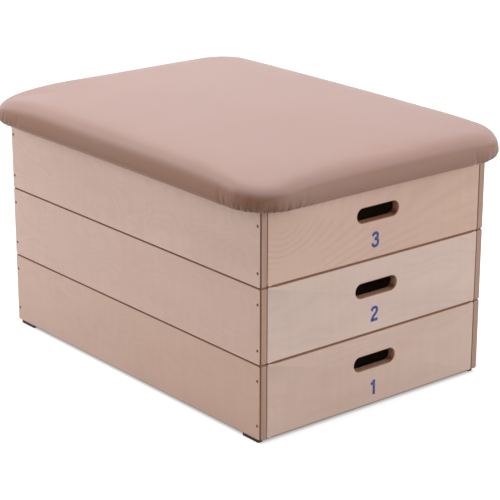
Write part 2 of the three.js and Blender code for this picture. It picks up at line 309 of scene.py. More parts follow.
def shared(recipe: Callable[[Tree, Signals], Signals], tree: Tree, **values: Plug) -> Signals:
    """Places a node group in a material, and makes the group where it is the first to use it.

    Args:
        recipe: Fills the group, from its inputs to its outputs. The group has its name.
        tree: The material's tree.
        values: What goes into the group's inputs, by name.

    Returns:
        The group's outputs, by name.
    """
    group = bpy.data.node_groups.get(recipe.__name__)
    if group is None:
        group = bpy.data.node_groups.new(recipe.__name__, "ShaderNodeTree")
        for name, value in values.items():
            group.interface.new_socket(name=name, in_out="INPUT", socket_type=SocketKind.of(value))
        inside = Tree(group)
        entry = group.nodes.new("NodeGroupInput")
        outputs = recipe(inside, {name: Signal(inside, entry.outputs[name]) for name in values})
        for name, value in outputs.items():
            group.interface.new_socket(name=name, in_out="OUTPUT", socket_type=SocketKind.of(value))
        way_out = group.nodes.new("NodeGroupOutput")
        for name, value in outputs.items():
            inside.plug(way_out.inputs[name], value)
    placed = tree.node("Group", node_tree=group)
    for name, value in values.items():
        tree.plug(placed.inputs[name], value)
    return {output.name: Signal(tree, output) for output in placed.outputs}


def wood_axes(tree: Tree, given: Signals) -> Signals:
    """Turns a point and its normal to run along the grain, across it and into the wood.

    Args:
        tree: The group's tree.
        given: Its inputs.

    Returns:
        Its outputs.
    """
    point = tree.vector("SUBTRACT", tree.coordinate(), given["start"])
    axes = [given[name] for name in ("along", "across", "into")]
    return {name: tree.join(*(tree.vector("DOT_PRODUCT", source, axis) for axis in axes))
            for name, source in (("point", point), ("normal", tree.coordinate("Normal")))}


def ply_layers(tree: Tree, given: Signals) -> Signals:
    """Tells which layer of plywood a point lies in, and whether its end grain shows.

    Args:
        tree: The group's tree.
        given: Its inputs.

    Returns:
        Its outputs.
    """
    square_on, turned, rounded, crest_fade = 0.995, 0.85, 0.93, 0.16
    glue_start, glue_full = 0.1, 0.03
    along, across, into = tree.split(tree.vector("ABSOLUTE", given["normal"]))
    depth = tree.split(given["point"])[2] / given["layer"]
    started = tree.maths("MAXIMUM", tree.maths("FLOOR", depth), 0.0)
    layer = tree.maths("MINIMUM", started, given["count"] - 1.0)
    crossed = tree.maths("MODULO", layer, 2.0)
    end_grain = (1.0 - crossed) * along + crossed * across
    edge = tree.fit(into, square_on, turned)
    above_crest = tree.fit(into, given["crest"], given["crest"] + crest_fade)
    inside = depth - layer
    rim = tree.maths("MINIMUM", inside, 1.0 - inside)
    chance = tree.node("TexWhiteNoise", noise_dimensions="1D")
    tree.plug(chance.inputs["W"], layer + given["seed"])
    return {
        "end_grain": tree.fit(end_grain, 0.2, 0.75, smooth=True),
        "glue": tree.fit(rim, glue_start, glue_full) * edge,
        "edge": edge,
        "tone": Signal(tree, chance.outputs["Value"]),
        "rounding": tree.fit(into, square_on, rounded) * above_crest,
        "hidden": tree.maths("GREATER_THAN", depth, given["count"] - 0.2),
    }


def veneer_figure(tree: Tree, given: Signals) -> Signals:
    """Draws the wavy figure, the fine fibres and the broad clouds of a veneer.

    The figure's lines run round a peak: they close in straight before it and open out after it.

    Args:
        tree: The group's tree.
        given: Its inputs.

    Returns:
        Its outputs.
    """
    arc_spread, arc_opening = 0.17, 6.7
    point = tree.vector("ADD", given["point"], tree.join(given["seed"], given["seed"] * 1.7))
    along, across, _ = tree.split(point)
    stretched = tree.join(along / given["flame_length"], across / given["flame_width"])
    sway = tree.noise(stretched, 1.0, 2.5, 0.42) * given["sway"]
    past, beside, _ = tree.split(tree.vector("SUBTRACT", given["point"], given["peak"]))
    before = tree.maths("MAXIMUM", past * -1.0, 0.0)
    opened = 1.0 - tree.maths("EXPONENT", tree.maths("MAXIMUM", past, 0.0) * -arc_opening)
    bowed = (opened * arc_spread + before) * given["bow"]
    distance = tree.vector("LENGTH", tree.join(bowed, past * given["lean"] + beside))
    wave = tree.maths("SINE", (distance / given["spacing"] + sway) * math.tau)
    patch = tree.fit(tree.grain(point, (5.0, 16.0, 16.0), 1.0), 0.3, 0.6, smooth=True)
    broad = tree.grain(point, (4.0, 13.0, 13.0), 3.0, 0.55)
    ripple = tree.grain(point, (70.0, 7.0, 7.0))
    return {
        "figure": (wave * 0.5 + 0.5) ** 2.2 * patch * given["strength"],
        "fibres": tree.grain(point, (26.0, 1100.0, 1100.0), 3.0, 0.62),
        "clouds": ripple * 0.35 + broad * 0.65,
    }


def handling_marks(tree: Tree, given: Signals) -> Signals:
    """Gives the smudges, dust and fine scuffs that use leaves on a surface.

    Args:
        tree: The group's tree.
        given: Its inputs.

    Returns:
        Its outputs.
    """
    here = tree.coordinate()
    scuffed = tree.vector("MULTIPLY", here, (1.0, 6.0, 3.0))
    return {
        "smudge": tree.fit(tree.noise(here, given["scale"], 4.0, 0.6), 0.42, 0.7, smooth=True),
        "dust": tree.fit(tree.noise(here, given["scale"] * 22.0, 3.0, 0.7), 0.6, 0.78),
        "scuffs": tree.fit(tree.noise(scuffed, given["scale"] * 3.1, 5.0, 0.68), 0.66, 0.74),
    }


def corner_gathers(tree: Tree, given: Signals) -> Signals:
    """Draws fine upright creases round the corners of the pad, strongest at its lower edge.

    Args:
        tree: The group's tree.
        given: Its inputs.

    Returns:
        Its outputs.
    """
    slant, crease_fineness, corner_step, rise_fineness = 0.25, 150.0, 9.0, 12.0
    here = tree.coordinate()
    along, across, up = tree.split(here)
    quarter = tree.vector("ABSOLUTE", here)
    past_end, past_side, _ = tree.split(tree.vector("SUBTRACT", quarter, given["corner"]))
    height = up - given["hem"]
    leaned = height * slant + (past_side - past_end)
    corner = tree.maths("SIGN", along * 0.05 + across * 0.09)
    row = tree.join(leaned * crease_fineness, corner * corner_step, height * rise_fineness)
    crease = tree.fit(tree.noise(row, 1.0, 1.0, 0.4), 0.46, 0.64, smooth=True)
    reach = tree.fit(tree.noise(row, 0.45, 0.0), 0.3, 0.7, 0.012, 0.036)
    fade = tree.maths("SUBTRACT", 1.0, height / reach, clamp=True)
    near = tree.fit(tree.maths("MINIMUM", past_side, past_end), -0.045, 0.01, smooth=True)
    return {"crease": crease * fade * near}


class Finish:
    """A finish that makes its material with one Principled shader."""

    def sockets(self, tree: Tree) -> dict[str, Plug]:
        """What goes into the shader's sockets, which each finish gives."""
        raise NotImplementedError

    def material(self, name: str) -> bpy.types.Material:
        """Makes the material.

        Args:
            name: The material's name.

        Returns:
            The material.
        """
        made = bpy.data.materials.new(name)
        made.use_nodes = True
        tree = Tree(made.node_tree)
        shader = made.node_tree.nodes["Principled BSDF"]
        for socket, value in self.sockets(tree).items():
            tree.plug(shader.inputs[socket], value)
        return made


@dataclass(frozen=True)
class WoodPlace:
    """Where a piece of wood starts and which ways its grain, width and depth run."""

    start: Triple
    along: Triple
    across: Triple
    into: Triple


@dataclass(frozen=True)
class Pattern:
    """How the lines of a veneer's figure run, how far apart they are and how strongly they show."""

    spacing: float = 0.034
    sway: float = 9.0
    lean: float = 0.04
    flame_length: float = 0.36
    flame_width: float = 0.1
    strength: float = 0.26
    peak: Triple = (0.0, -1.0, 0.0)
    bow: float = 0.0


@dataclass(frozen=True)
class Veneer:
    """The colour of a plywood panel's face, how much warmer one end of it is, and its figure."""

    tint: Tint
    warmth: float = 0.0
    pattern: Pattern = Pattern()


@dataclass(frozen=True)
class BirchPlywood(Finish):
    """Lacquered birch plywood, with its layers showing wherever an edge is cut."""

    veneer: Veneer
    place: WoodPlace
    thickness: float
    seed: float
    layers: int = 13
    end_grain: Tint = (152, 111, 84)
    core: Tint = (214, 184, 168)
    glue: Tint = (92, 60, 44)
    # Darker brown of the rounded edges: partly the edges' own colour, partly painted shade of the grooves
    # between sections.
    sanded: Tint = (114, 70, 46)
    # Painted shade: the colour that darkens the inner face, inside the box.
    raw: Tint = (128, 101, 84)
    warm_shares: Triple = (0.95, 0.87, 0.82)
    dark_shares: Triple = (0.84, 0.79, 0.75)
    cloud_share: float = 0.45
    fibre_share: float = 0.32
    glue_share: float = 0.6
    smudge_share: float = 0.05
    crest: float = 0.14
    sanded_share: float = 0.85
    lacquer: float = 0.5

    def sockets(self, tree: Tree) -> dict[str, Plug]:
        """Works out what goes into the shader.

        Args:
            tree: The material's tree.

        Returns:
            Outputs and numbers by the shader's sockets.
        """
        axes = shared(wood_axes, tree, **vars(self.place))
        layers = shared(ply_layers, tree, **axes, layer=self.thickness / self.layers,
                        count=float(self.layers), seed=self.seed, crest=self.crest)
        figure = shared(veneer_figure, tree, point=axes["point"], seed=self.seed,
                        **vars(self.veneer.pattern))
        smudge = shared(handling_marks, tree, scale=6.0)["smudge"]
        return {
            "Specular IOR Level": 0.2,
            "Coat Roughness": 0.42,
            "Coat Weight": tree.fit(layers["rounding"], 0.0, 1.0, self.lacquer, 0.0),
            "Base Color": self.colour(tree, axes["point"], layers, figure, smudge),
            "Roughness": tree.maths("ADD", tree.fit(figure["fibres"], 0.3, 0.7, 0.42, 0.52)
                                    + layers["end_grain"] * 0.2, smudge * 0.05, clamp=True),
            "Normal": tree.bump(figure["fibres"] - layers["glue"], 0.00012),
        }

    def colour(self, tree: Tree, point: Signal, layers: Signals, figure: Signals, smudge: Signal) -> Signal:
        """Mixes the wood's colour, from the face veneer to the cut edges, with painted shade on the inner
        face.

        Args:
            tree: The material's tree.
            point: The place in the panel.
            layers: The outputs of the plywood's layers.
            figure: The outputs of the veneer's figure.
            smudge: Where hands have touched it.

        Returns:
            The colour.
        """
        tint = screen_colour(self.veneer.tint)
        warm, darker = shaded(tint, *self.warm_shares), shaded(tint, *self.dark_shares)
        core, end = screen_colour(self.core), screen_colour(self.end_grain)
        warmed = tree.fit(tree.split(point)[0], -0.2, 0.42, 0.0, self.veneer.warmth)
        clouded = tree.mix(tree.fit(figure["clouds"], 0.3, 0.7), darker, shaded(tint, 1.07))
        face = tree.mix(self.cloud_share, tree.mix(warmed, tint, warm), clouded)
        face = tree.mix(figure["figure"], face, darker)
        face = tree.mix(tree.fit(figure["fibres"], 0.35, 0.68, 0.0, self.fibre_share), face, darker)
        long_grain = tree.mix(layers["tone"], core, shaded(core, 0.82))
        wood = tree.mix(layers["edge"], face, tree.mix(0.5, long_grain, face))
        wood = tree.mix(layers["end_grain"], wood, tree.mix(layers["tone"], end, shaded(end, 0.72)))
        wood = tree.mix(layers["glue"] * self.glue_share, wood, screen_colour(self.glue))
        # The rounded edges turn darker brown: partly their own colour, partly painted shade of the grooves
        # between sections.
        wood = tree.mix(layers["rounding"] * self.sanded_share, wood, screen_colour(self.sanded))
        # Painted shade: the inner face, inside the box, is darkened.
        raw = tree.mix(0.5, wood, screen_colour(self.raw), "MULTIPLY")
        return tree.mix(smudge * self.smudge_share, tree.mix(layers["hidden"], wood, raw), darker)


@dataclass(frozen=True)
class SoftwoodBlock(Finish):
    """Planed softwood with growth rings, for the corner blocks."""

    place: WoodPlace
    seed: float
    early: Tint = (222, 188, 148)
    late: Tint = (176, 128, 84)
    ring: float = 3.6 * MILLIMETRE
    pith: tuple[float, float] = (30 * MILLIMETRE, 50 * MILLIMETRE)
    sway: float = 12 * MILLIMETRE

    def sockets(self, tree: Tree) -> dict[str, Plug]:
        """Works out what goes into the shader.

        Args:
            tree: The material's tree.

        Returns:
            Outputs and numbers by the shader's sockets.
        """
        point = shared(wood_axes, tree, **vars(self.place))["point"]
        _, across, into = tree.split(point)
        aside, behind = self.pith[0] + self.seed * MILLIMETRE, self.pith[1]
        from_pith = tree.vector("LENGTH", tree.join(across + aside, into + behind))
        bent = tree.grain(point, (3.0, 14.0, 14.0)) * self.sway + from_pith
        late = tree.maths("FRACT", bent / self.ring) ** 3.0
        fibres = tree.grain(point, (20.0, 800.0, 800.0), 3.0, 0.6)
        dark = screen_colour(self.late)
        ringed = tree.mix(late, screen_colour(self.early), dark)
        return {
            "Specular IOR Level": 0.35,
            "Base Color": tree.mix(tree.fit(fibres, 0.4, 0.75, 0.0, 0.35), ringed, shaded(dark, 0.85)),
            "Roughness": tree.fit(fibres, 0.3, 0.7, 0.6, 0.78),
            "Normal": tree.bump(fibres + late, 0.00015),
        }


@dataclass(frozen=True)
class Leatherette(Finish):
    """Soft matt leatherette with a fine pressed grain, creased round the pad's corners."""

    tint: Tint = (142, 100, 78)
    valley: Tint = (118, 80, 59)
    # Painted sheen: a pale colour mixed in on the top and on the end faces, by which way they face.
    chalk: Tint = (207, 180, 178)
    chalk_share: float = 0.38
    handled_share: float = 0.14
    pore_share: float = 0.35
    # Painted shade: how much the colour darkens in the creases.
    crease_share: float = 0.8
    grain: float = 780.0
    grain_depth: float = 0.00011
    corner: Triple = (0.39, 0.255, 0.0)
    hem: float = 0.476
    crease_depth: float = 0.0026

    def sockets(self, tree: Tree) -> dict[str, Plug]:
        """Works out what goes into the shader.

        Args:
            tree: The material's tree.

        Returns:
            Outputs and numbers by the shader's sockets.
        """
        here = tree.coordinate()
        warped = tree.vector("MULTIPLY_ADD", tree.noise(here, 240.0, output="Color"), (0.0016,) * 3, here)
        cells = tree.node("TexVoronoi", feature="DISTANCE_TO_EDGE")
        tree.plug(cells.inputs["Vector"], warped)
        tree.plug(cells.inputs["Scale"], self.grain)
        pebble = tree.fit(Signal(tree, cells.outputs["Distance"]), 0.0, 0.22, smooth=True)
        cloud = tree.noise(here, 5.0, 3.0)
        smudge = shared(handling_marks, tree, scale=4.0)["smudge"]
        crease = shared(corner_gathers, tree, corner=self.corner, hem=self.hem)["crease"]
        tint, valley = screen_colour(self.tint), screen_colour(self.valley)
        colour = tree.mix(tree.fit(cloud, 0.35, 0.65), tint, shaded(tint, 1.05))
        colour = tree.mix((1.0 - pebble) * self.pore_share, colour, valley)
        # Painted sheen: the top and the end faces are made paler by which way they face.
        colour = tree.mix(self.dusting(tree), colour, screen_colour(self.chalk))
        colour = tree.mix(smudge * 0.08, colour, valley)
        gathered = tree.bump(1.0 - crease, self.crease_depth, 0.8)
        return {
            "Specular IOR Level": 0.36,
            "Sheen Weight": 0.35,
            "Sheen Roughness": 0.3,
            "Sheen Tint": (1.0, 0.96, 0.98, 1.0),
            # Painted shade: the colour darkens in the creases of the corner gathers.
            "Base Color": tree.mix(crease * self.crease_share, colour, shaded(valley, 0.8)),
            "Roughness": tree.fit(cloud, 0.3, 0.7, 0.47, 0.55) - smudge * 0.05,
            "Normal": tree.bump(tree.noise(here, 2600.0) * 0.25 + pebble, self.grain_depth, 0.55, gathered),
        }

    def dusting(self, tree: Tree) -> Signal:
        """Finds where painted sheen makes the cover paler: on top, by how far it faces up, and on the faces
        towards the ends.

        Args:
            tree: The material's tree.

        Returns:
            How much of the painted sheen's colour shows.
        """
        endwards, _, upwards = tree.split(tree.coordinate("Normal"))
        top_sheen = tree.fit(upwards, 0.2, 0.64, 0.0, self.chalk_share, smooth=True)
        facing_end = tree.maths("ABSOLUTE", endwards)
        end_sheen = tree.fit(facing_end, 0.74, 0.97, 0.0, self.handled_share, smooth=True)
        return tree.maths("MAXIMUM", top_sheen, end_sheen)


@dataclass(frozen=True)
class FootRubber(Finish):
    """Black moulded rubber, dusty in its pores."""

    tint: Tint = (30, 27, 25)
    dust: Tint = (104, 96, 88)

    def sockets(self, tree: Tree) -> dict[str, Plug]:
        """Works out what goes into the shader.

        Args:
            tree: The material's tree.

        Returns:
            Outputs and numbers by the shader's sockets.
        """
        marks = shared(handling_marks, tree, scale=40.0)
        return {
            "Specular IOR Level": 0.35,
            "Base Color": tree.mix(marks["dust"] * 0.35, screen_colour(self.tint), screen_colour(self.dust)),
            "Roughness": tree.fit(marks["smudge"], 0.0, 1.0, 0.68, 0.85),
            "Normal": tree.bump(tree.noise(tree.coordinate(), 900.0, 3.0), 0.0002),
        }


@dataclass(frozen=True)
class FastenerSteel(Finish):
    """Steel of nails, screws and staples, with some browning."""

    tint: Tint = (96, 80, 68)
    stain: Tint = (82, 52, 36)
    stain_share: float = 0.6

    def sockets(self, tree: Tree) -> dict[str, Plug]:
        """Works out what goes into the shader.

        Args:
            tree: The material's tree.

        Returns:
            Outputs and numbers by the shader's sockets.
        """
        marks = shared(handling_marks, tree, scale=160.0)
        stained = marks["smudge"] * self.stain_share
        return {
            "Base Color": tree.mix(stained, screen_colour(self.tint), screen_colour(self.stain)),
            "Metallic": tree.fit(stained, 0.0, 1.0, 0.85, 0.2),
            "Roughness": tree.fit(stained, 0.0, 1.0, 0.36, 0.7),
            "Normal": tree.bump(marks["scuffs"], 0.00005),
        }


@dataclass(frozen=True)
class NumberPaint(Finish):
    """Printed blue figures, a little uneven where the ink lies on the grain."""

    tint: Tint = (46, 62, 138)
    thin: Tint = (76, 92, 160)

    def sockets(self, tree: Tree) -> dict[str, Plug]:
        """Works out what goes into the shader.

        Args:
            tree: The material's tree.

        Returns:
            Outputs and numbers by the shader's sockets.
        """
        streaks = tree.grain(tree.coordinate(), (30.0, 30.0, 900.0), 3.0, 0.6)
        thinned = tree.fit(streaks, 0.45, 0.75, 0.0, 0.5)
        return {
            "Specular IOR Level": 0.4,
            "Base Color": tree.mix(thinned, screen_colour(self.tint), screen_colour(self.thin)),
            "Roughness": tree.fit(streaks, 0.3, 0.7, 0.42, 0.55),
            "Normal": tree.bump(streaks, 0.00006),
        }


@dataclass(frozen=True)
class Box:
    """The space of a piece, from its lowest corner to its highest."""

    low: Vector
    high: Vector

    @classmethod
    def of(cls, node: str) -> "Box":
        """The space of a node of the frame."""
        return cls(*(Vector(corner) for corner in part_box(node)))

    @property
    def size(self) -> Vector:
        """Its three sides."""
        return self.high - self.low

    @property
    def middle(self) -> Vector:
        """Its middle."""
        return (self.high + self.low) / 2


class Facing(Enum):
    """The walls of a section, with the way that each one faces."""

    LEFT = (0, -1, 0)
    RIGHT = (0, 1, 0)
    FRONT = (1, 0, 0)
    REAR = (-1, 0, 0)

    @property
    def word(self) -> str:
        """Its name in the names of nodes."""
        return self.name.lower()

    def face_of(self, box: Box) -> Vector:
        """The middle of a box's face on this side."""
        parts = zip(box.middle, self.value, box.size)
        return Vector([middle + way * side / 2 for middle, way, side in parts])


SIDES = (Facing.LEFT, Facing.RIGHT)
ENDS = (Facing.FRONT, Facing.REAR)
CORNERS = tuple((end, side) for end in ENDS for side in SIDES)


class Rounding(NamedTuple):
    """How far a rounded edge reaches, and in how many steps."""

    reach: float
    steps: int


@dataclass
class Fitting:
    """How a finished piece joins the frame."""

    body: str
    slot: str
    material: bpy.types.Material
    replaces: tuple[str, ...] = ()


def vertices_of(elements: Iterable[object]) -> list[bmesh.types.BMVert]:
    """Picks the vertices out of what a bmesh operator returns."""
    return [element for element in elements if isinstance(element, bmesh.types.BMVert)]


def add_block(mesh: bmesh.types.BMesh, size: Vector, middle: Vector) -> None:
    """Adds an upright block to a bmesh.

    Args:
        mesh: The bmesh.
        size: The block's three sides.
        middle: Its middle.
    """
    made = bmesh.ops.create_cube(mesh, size=1.0)["verts"]
    bmesh.ops.scale(mesh, vec=size, verts=made)
    bmesh.ops.translate(mesh, vec=middle, verts=made)


def bevel(mesh: bmesh.types.BMesh, edges: Iterable[bmesh.types.BMEdge], rounding: Rounding) -> None:
    """Rounds some edges.

    Args:
        mesh: The bmesh that holds them.
        edges: The edges.
        rounding: How they are rounded.
    """
    bmesh.ops.bevel(mesh, geom=list(edges), offset=rounding.reach, offset_type="OFFSET",
                    segments=rounding.steps, profile=0.5, affect="EDGES", clamp_overlap=True, material=-1)


def runs_along(edge: bmesh.types.BMEdge, axis: Vector) -> bool:
    """Whether an edge runs along an axis."""
    return abs((edge.verts[1].co - edge.verts[0].co).normalized().dot(axis)) > PARALLEL


def sharp_edges(mesh: bmesh.types.BMesh, degrees: float) -> list[bmesh.types.BMEdge]:
    """Finds the edges whose faces turn by more than an angle."""
    limit = math.radians(degrees)
    return [edge for edge in mesh.edges if len(edge.link_faces) == 2 and edge.calc_face_angle() > limit]


def rounded_plate(box: Box, axis: Vector, corner: Rounding, rim: Rounding) -> bmesh.types.BMesh:
    """Makes a plate with rounded corners and edges.

    Args:
        box: Its space.
        axis: The way that its thickness runs.
        corner: The rounding of its corners.
        rim: The rounding of the edges of its two faces.

    Returns:
        Its bmesh.
    """
    mesh = bmesh.new()
    add_block(mesh, box.size, box.middle)
    bevel(mesh, [edge for edge in mesh.edges if runs_along(edge, axis)], corner)
    faces = [face for face in mesh.faces if abs(face.normal.dot(axis)) > PARALLEL]
    bevel(mesh, {edge for face in faces for edge in face.edges}, rim)
    return mesh


def linked(name: str, data: bpy.types.ID) -> bpy.types.Object:
    """Makes an object of some data and links it into the scene.

    Args:
        name: The object's name.
        data: Its mesh, curve, lamp or camera.

    Returns:
        The object.
    """
    made = bpy.data.objects.new(name, data)
    bpy.context.scene.collection.objects.link(made)
    return made


def mesh_object(name: str, mesh: bmesh.types.BMesh) -> bpy.types.Object:
    """Turns a bmesh into an object.

    Args:
        name: The object's name.
        mesh: Its shape, in place. It is freed.

    Returns:
        The object.
    """
    data = bpy.data.meshes.new(name)
    mesh.to_mesh(data)
    mesh.free()
    return linked(name, data)


def baked(piece: bpy.types.Object) -> None:
    """Gives a piece its mesh as its modifiers leave it, and takes the modifiers away.

    Args:
        piece: The piece.
    """
    bpy.context.view_layer.update()
    graph = bpy.context.evaluated_depsgraph_get()
    finished = bpy.data.meshes.new_from_object(piece.evaluated_get(graph))
    piece.modifiers.clear()
    piece.data = finished


def weigh_normals(piece: bpy.types.Object) -> None:
    """Keeps a piece's large faces shaded flat beside their rounded edges."""
    piece.modifiers.new("Weighted normals", "WEIGHTED_NORMAL").keep_sharp = True


def add_piece(name: str, mesh: bmesh.types.BMesh, fitting: Fitting) -> bpy.types.Object:
    """Turns a bmesh into a piece of the frame and reports it.

    Args:
        name: The piece's name.
        mesh: Its shape, in place. It is freed.
        fitting: Its body, material and replaced nodes. Its slot is not used.

    Returns:
        The new object.
    """
    for face in mesh.faces:
        face.smooth = True
    piece = mesh_object(name, mesh)
    piece.data.materials.append(fitting.material)
    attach(piece, fitting.body)
    if fitting.replaces:
        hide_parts(*fitting.replaces)
    LOG.info("%s: %d faces on %s", name, len(piece.data.polygons), fitting.body)
    return piece


def dress_node(name: str, material: bpy.types.Material) -> None:
    """Gives a node of the frame a material.

    Args:
        name: The node's name.
        material: The material.
    """
    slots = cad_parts[name].data.materials
    slots.clear()
    slots.append(material)
    LOG.info("%s: dressed", name)


@dataclass
class Panel:
    """A plywood panel that makes one wall of a section."""

    level: int
    facing: Facing
    veneer: Veneer
    seed: float

    @property
    def name(self) -> str:
        """The node's name."""
        return f"section_{self.level}_{'side' if self.facing in SIDES else 'end'}_{self.facing.word}"

    def fitting(self, box: Box, **browns: Union[float, Tint]) -> Fitting:
        """Makes the panel's plywood and says how the panel joins the frame.

        Args:
            box: The panel's space.
            browns: How its edges are coloured.

        Returns:
            The fitting.
        """
        outward = Vector(self.facing.value)
        outer = self.facing.face_of(box)
        place = WoodPlace((outer.x, outer.y, box.low.z), (abs(outward.y), abs(outward.x), 0.0),
                          tuple(Z_AXIS), tuple(-outward))
        wood = BirchPlywood(self.veneer, place, abs(outward.dot(box.size)), self.seed, **browns)
        material = wood.material(f"{self.name}_birch")
        return Fitting(f"section_{self.level}", "plywood", material, (self.name,))


@dataclass
class SidePanel(Panel):
    """A long side panel with rounded corners, eased edges and nail holes at both ends."""

    corner: Rounding = Rounding(5 * MILLIMETRE, 5)
    rim: Rounding = Rounding(3 * MILLIMETRE, 4)
    hole_radius: float = 3.1 * MILLIMETRE
    hole_depth: float = 2.4 * MILLIMETRE
    hole_steps: int = 20
    # Darker brown of the rounded edges: partly their own colour, partly painted shade of the grooves between
    # sections.
    sanded: Tint = (126, 82, 55)
    crest: float = 0.08
    sanded_share: float = 0.9

    def drill(self, piece: bpy.types.Object, nails: Sequence[str]) -> None:
        """Cuts the mouths of the nail holes into the outer face.

        Args:
            piece: The panel's object.
            nails: The names of the nails' nodes.
        """
        mesh = bmesh.new()
        turn = Matrix.Rotation(math.pi / 2, 4, "X")
        for nail in nails:
            mouth = Matrix.Translation(self.facing.face_of(Box.of(nail)))
            bmesh.ops.create_cone(mesh, cap_ends=True, segments=self.hole_steps, radius1=self.hole_radius,
                                  radius2=self.hole_radius, depth=2 * self.hole_depth, matrix=mouth @ turn)
        cutter = mesh_object("nail_hole_cutter", mesh)
        cut = piece.modifiers.new("Nail holes", "BOOLEAN")
        cut.operation = "DIFFERENCE"
        cut.object = cutter
        cut.solver = "EXACT"
        baked(piece)
        bpy.data.objects.remove(cutter)

    def build(self, nails: Sequence[str]) -> None:
        """Builds the panel in place of its node.

        Args:
            nails: The names of the nails that go through its outer face.
        """
        box = Box.of(self.name)
        fitting = self.fitting(box, sanded=self.sanded, crest=self.crest, sanded_share=self.sanded_share)
        piece = add_piece(f"{self.name}_panel", rounded_plate(box, Y_AXIS, self.corner, self.rim), fitting)
        self.drill(piece, nails)
        weigh_normals(piece)


@dataclass
class EndPanel(Panel):
    """An end panel between the side panels, with a stadium-shaped hand slot."""

    rim: Rounding = Rounding(4 * MILLIMETRE, 4)
    slot_rim: Rounding = Rounding(3 * MILLIMETRE, 4)
    slot_length: float = 109 * MILLIMETRE
    slot_height: float = 29 * MILLIMETRE
    slot_centre_height: float = 95 * MILLIMETRE
    slot_steps: int = 40
    end_grain: Tint = (158, 96, 56)
    core: Tint = (248, 197, 154)
    # Darker brown of the rounded edges: partly their own colour, partly painted shade of the grooves between
    # sections.
    sanded: Tint = (134, 96, 75)
    crest: float = 0.52
    sharp: float = 60.0

    def shape(self, box: Box) -> bmesh.types.BMesh:
        """Makes the panel with its slot.

        Args:
            box: The panel's space.

        Returns:
            The panel's bmesh.
        """
        low, high = box.low, box.high
        mesh = bmesh.new()
        corners = [(low.y, low.z), (high.y, low.z), (high.y, high.z), (low.y, high.z)]
        outline = [mesh.verts.new((low.x, y, z)) for y, z in corners]
        rim = [mesh.edges.new((outline[place - 1], outline[place])) for place in range(len(outline))]
        radius = self.slot_height / 2
        middle = Vector((low.x, box.middle.y, low.z + self.slot_centre_height))
        place = Matrix.Translation(middle) @ Matrix.Rotation(math.pi / 2, 4, "Y")
        slot = bmesh.ops.create_circle(mesh, cap_ends=False, segments=self.slot_steps, radius=radius,
                                       matrix=place)["verts"]
        reach = self.slot_length / 2 - radius
        for vertex in slot:
            vertex.co.y += math.copysign(reach, vertex.co.y - middle.y)
        loop = {edge for vertex in slot for edge in vertex.link_edges}
        bmesh.ops.triangle_fill(mesh, use_beauty=True, use_dissolve=False, edges=rim + list(loop))
        grown = bmesh.ops.extrude_face_region(mesh, geom=list(mesh.faces))
        bmesh.ops.translate(mesh, vec=(box.size.x, 0, 0), verts=vertices_of(grown["geom"]))
        bmesh.ops.recalc_face_normals(mesh, faces=mesh.faces)
        bevel(mesh, self.rims(mesh, box, outer=False), self.slot_rim)
        bevel(mesh, self.rims(mesh, box, outer=True), self.rim)
        bmesh.ops.recalc_face_normals(mesh, faces=mesh.faces)
        return mesh

    def rims(self, mesh: bmesh.types.BMesh, box: Box, outer: bool) -> list[bmesh.types.BMEdge]:
        """Finds the sharp edges of the faces, but for the ones that lie against the side panels.

        Args:
            mesh: The panel's bmesh.
            box: The panel's space.
            outer: Whether the top and bottom edges are wanted, or the slot's.

        Returns:
            The edges.
        """
        found = []
        for edge in sharp_edges(mesh, self.sharp):
            ys, zs = zip(*((vertex.co.y, vertex.co.z) for vertex in edge.verts))
            beside = max(ys) < box.low.y + NEARNESS or min(ys) > box.high.y - NEARNESS
            on_rim = max(zs) < box.low.z + NEARNESS or min(zs) > box.high.z - NEARNESS
            if not runs_along(edge, X_AXIS) and not beside and on_rim == outer:
                found.append(edge)
        return found

    def build(self) -> None:
        """Builds the panel in place of its node."""
        box = Box.of(self.name)
        fitting = self.fitting(box, end_grain=self.end_grain, core=self.core, sanded=self.sanded,
                               crest=self.crest)
        weigh_normals(add_piece(f"{self.name}_panel", self.shape(box), fitting))


@dataclass
class Nail:
    """A countersunk nail that is set just below the panel's face."""

    node: str
    level: int
    side: Facing
    head_radius: float = 2.4 * MILLIMETRE
    shank_radius: float = 1.3 * MILLIMETRE
    head_taper: float = 2.2 * MILLIMETRE
    dome: float = 0.25 * MILLIMETRE
    point: float = 3 * MILLIMETRE
    crown: tuple[tuple[float, float], ...] = ((0.0, 0.1), (0.35, 0.0), (0.8, 0.4), (1.0, 1.0))
    steps: int = 20

    def build(self, steel: bpy.types.Material) -> None:
        """Builds the nail in place of its node.

        Args:
            steel: The nail's finish.
        """
        box = Box.of(self.node)
        length = box.size.y
        head = self.side.face_of(box)
        inward = -self.side.value[1]
        stations = [(across * self.head_radius, deep * self.dome) for across, deep in self.crown]
        stations += [(self.shank_radius, self.head_taper), (self.shank_radius, length - self.point),
                     (0.0, length)]
        mesh = bmesh.new()
        profile = [mesh.verts.new(head + Vector((radius, inward * depth, 0))) for radius, depth in stations]
        edges = [mesh.edges.new(pair) for pair in zip(profile, profile[1:])]
        bmesh.ops.spin(mesh, geom=profile + edges, cent=head, axis=Y_AXIS, dvec=(0, 0, 0),
                       angle=math.tau, steps=self.steps, use_merge=True, use_duplicate=False)
        bmesh.ops.remove_doubles(mesh, verts=mesh.verts, dist=NEARNESS)
        bmesh.ops.recalc_face_normals(mesh, faces=mesh.faces)
        fitting = Fitting(f"section_{self.level}", "nail_steel", steel, (self.node,))
        weigh_normals(add_piece(f"{self.node}_set", mesh, fitting))


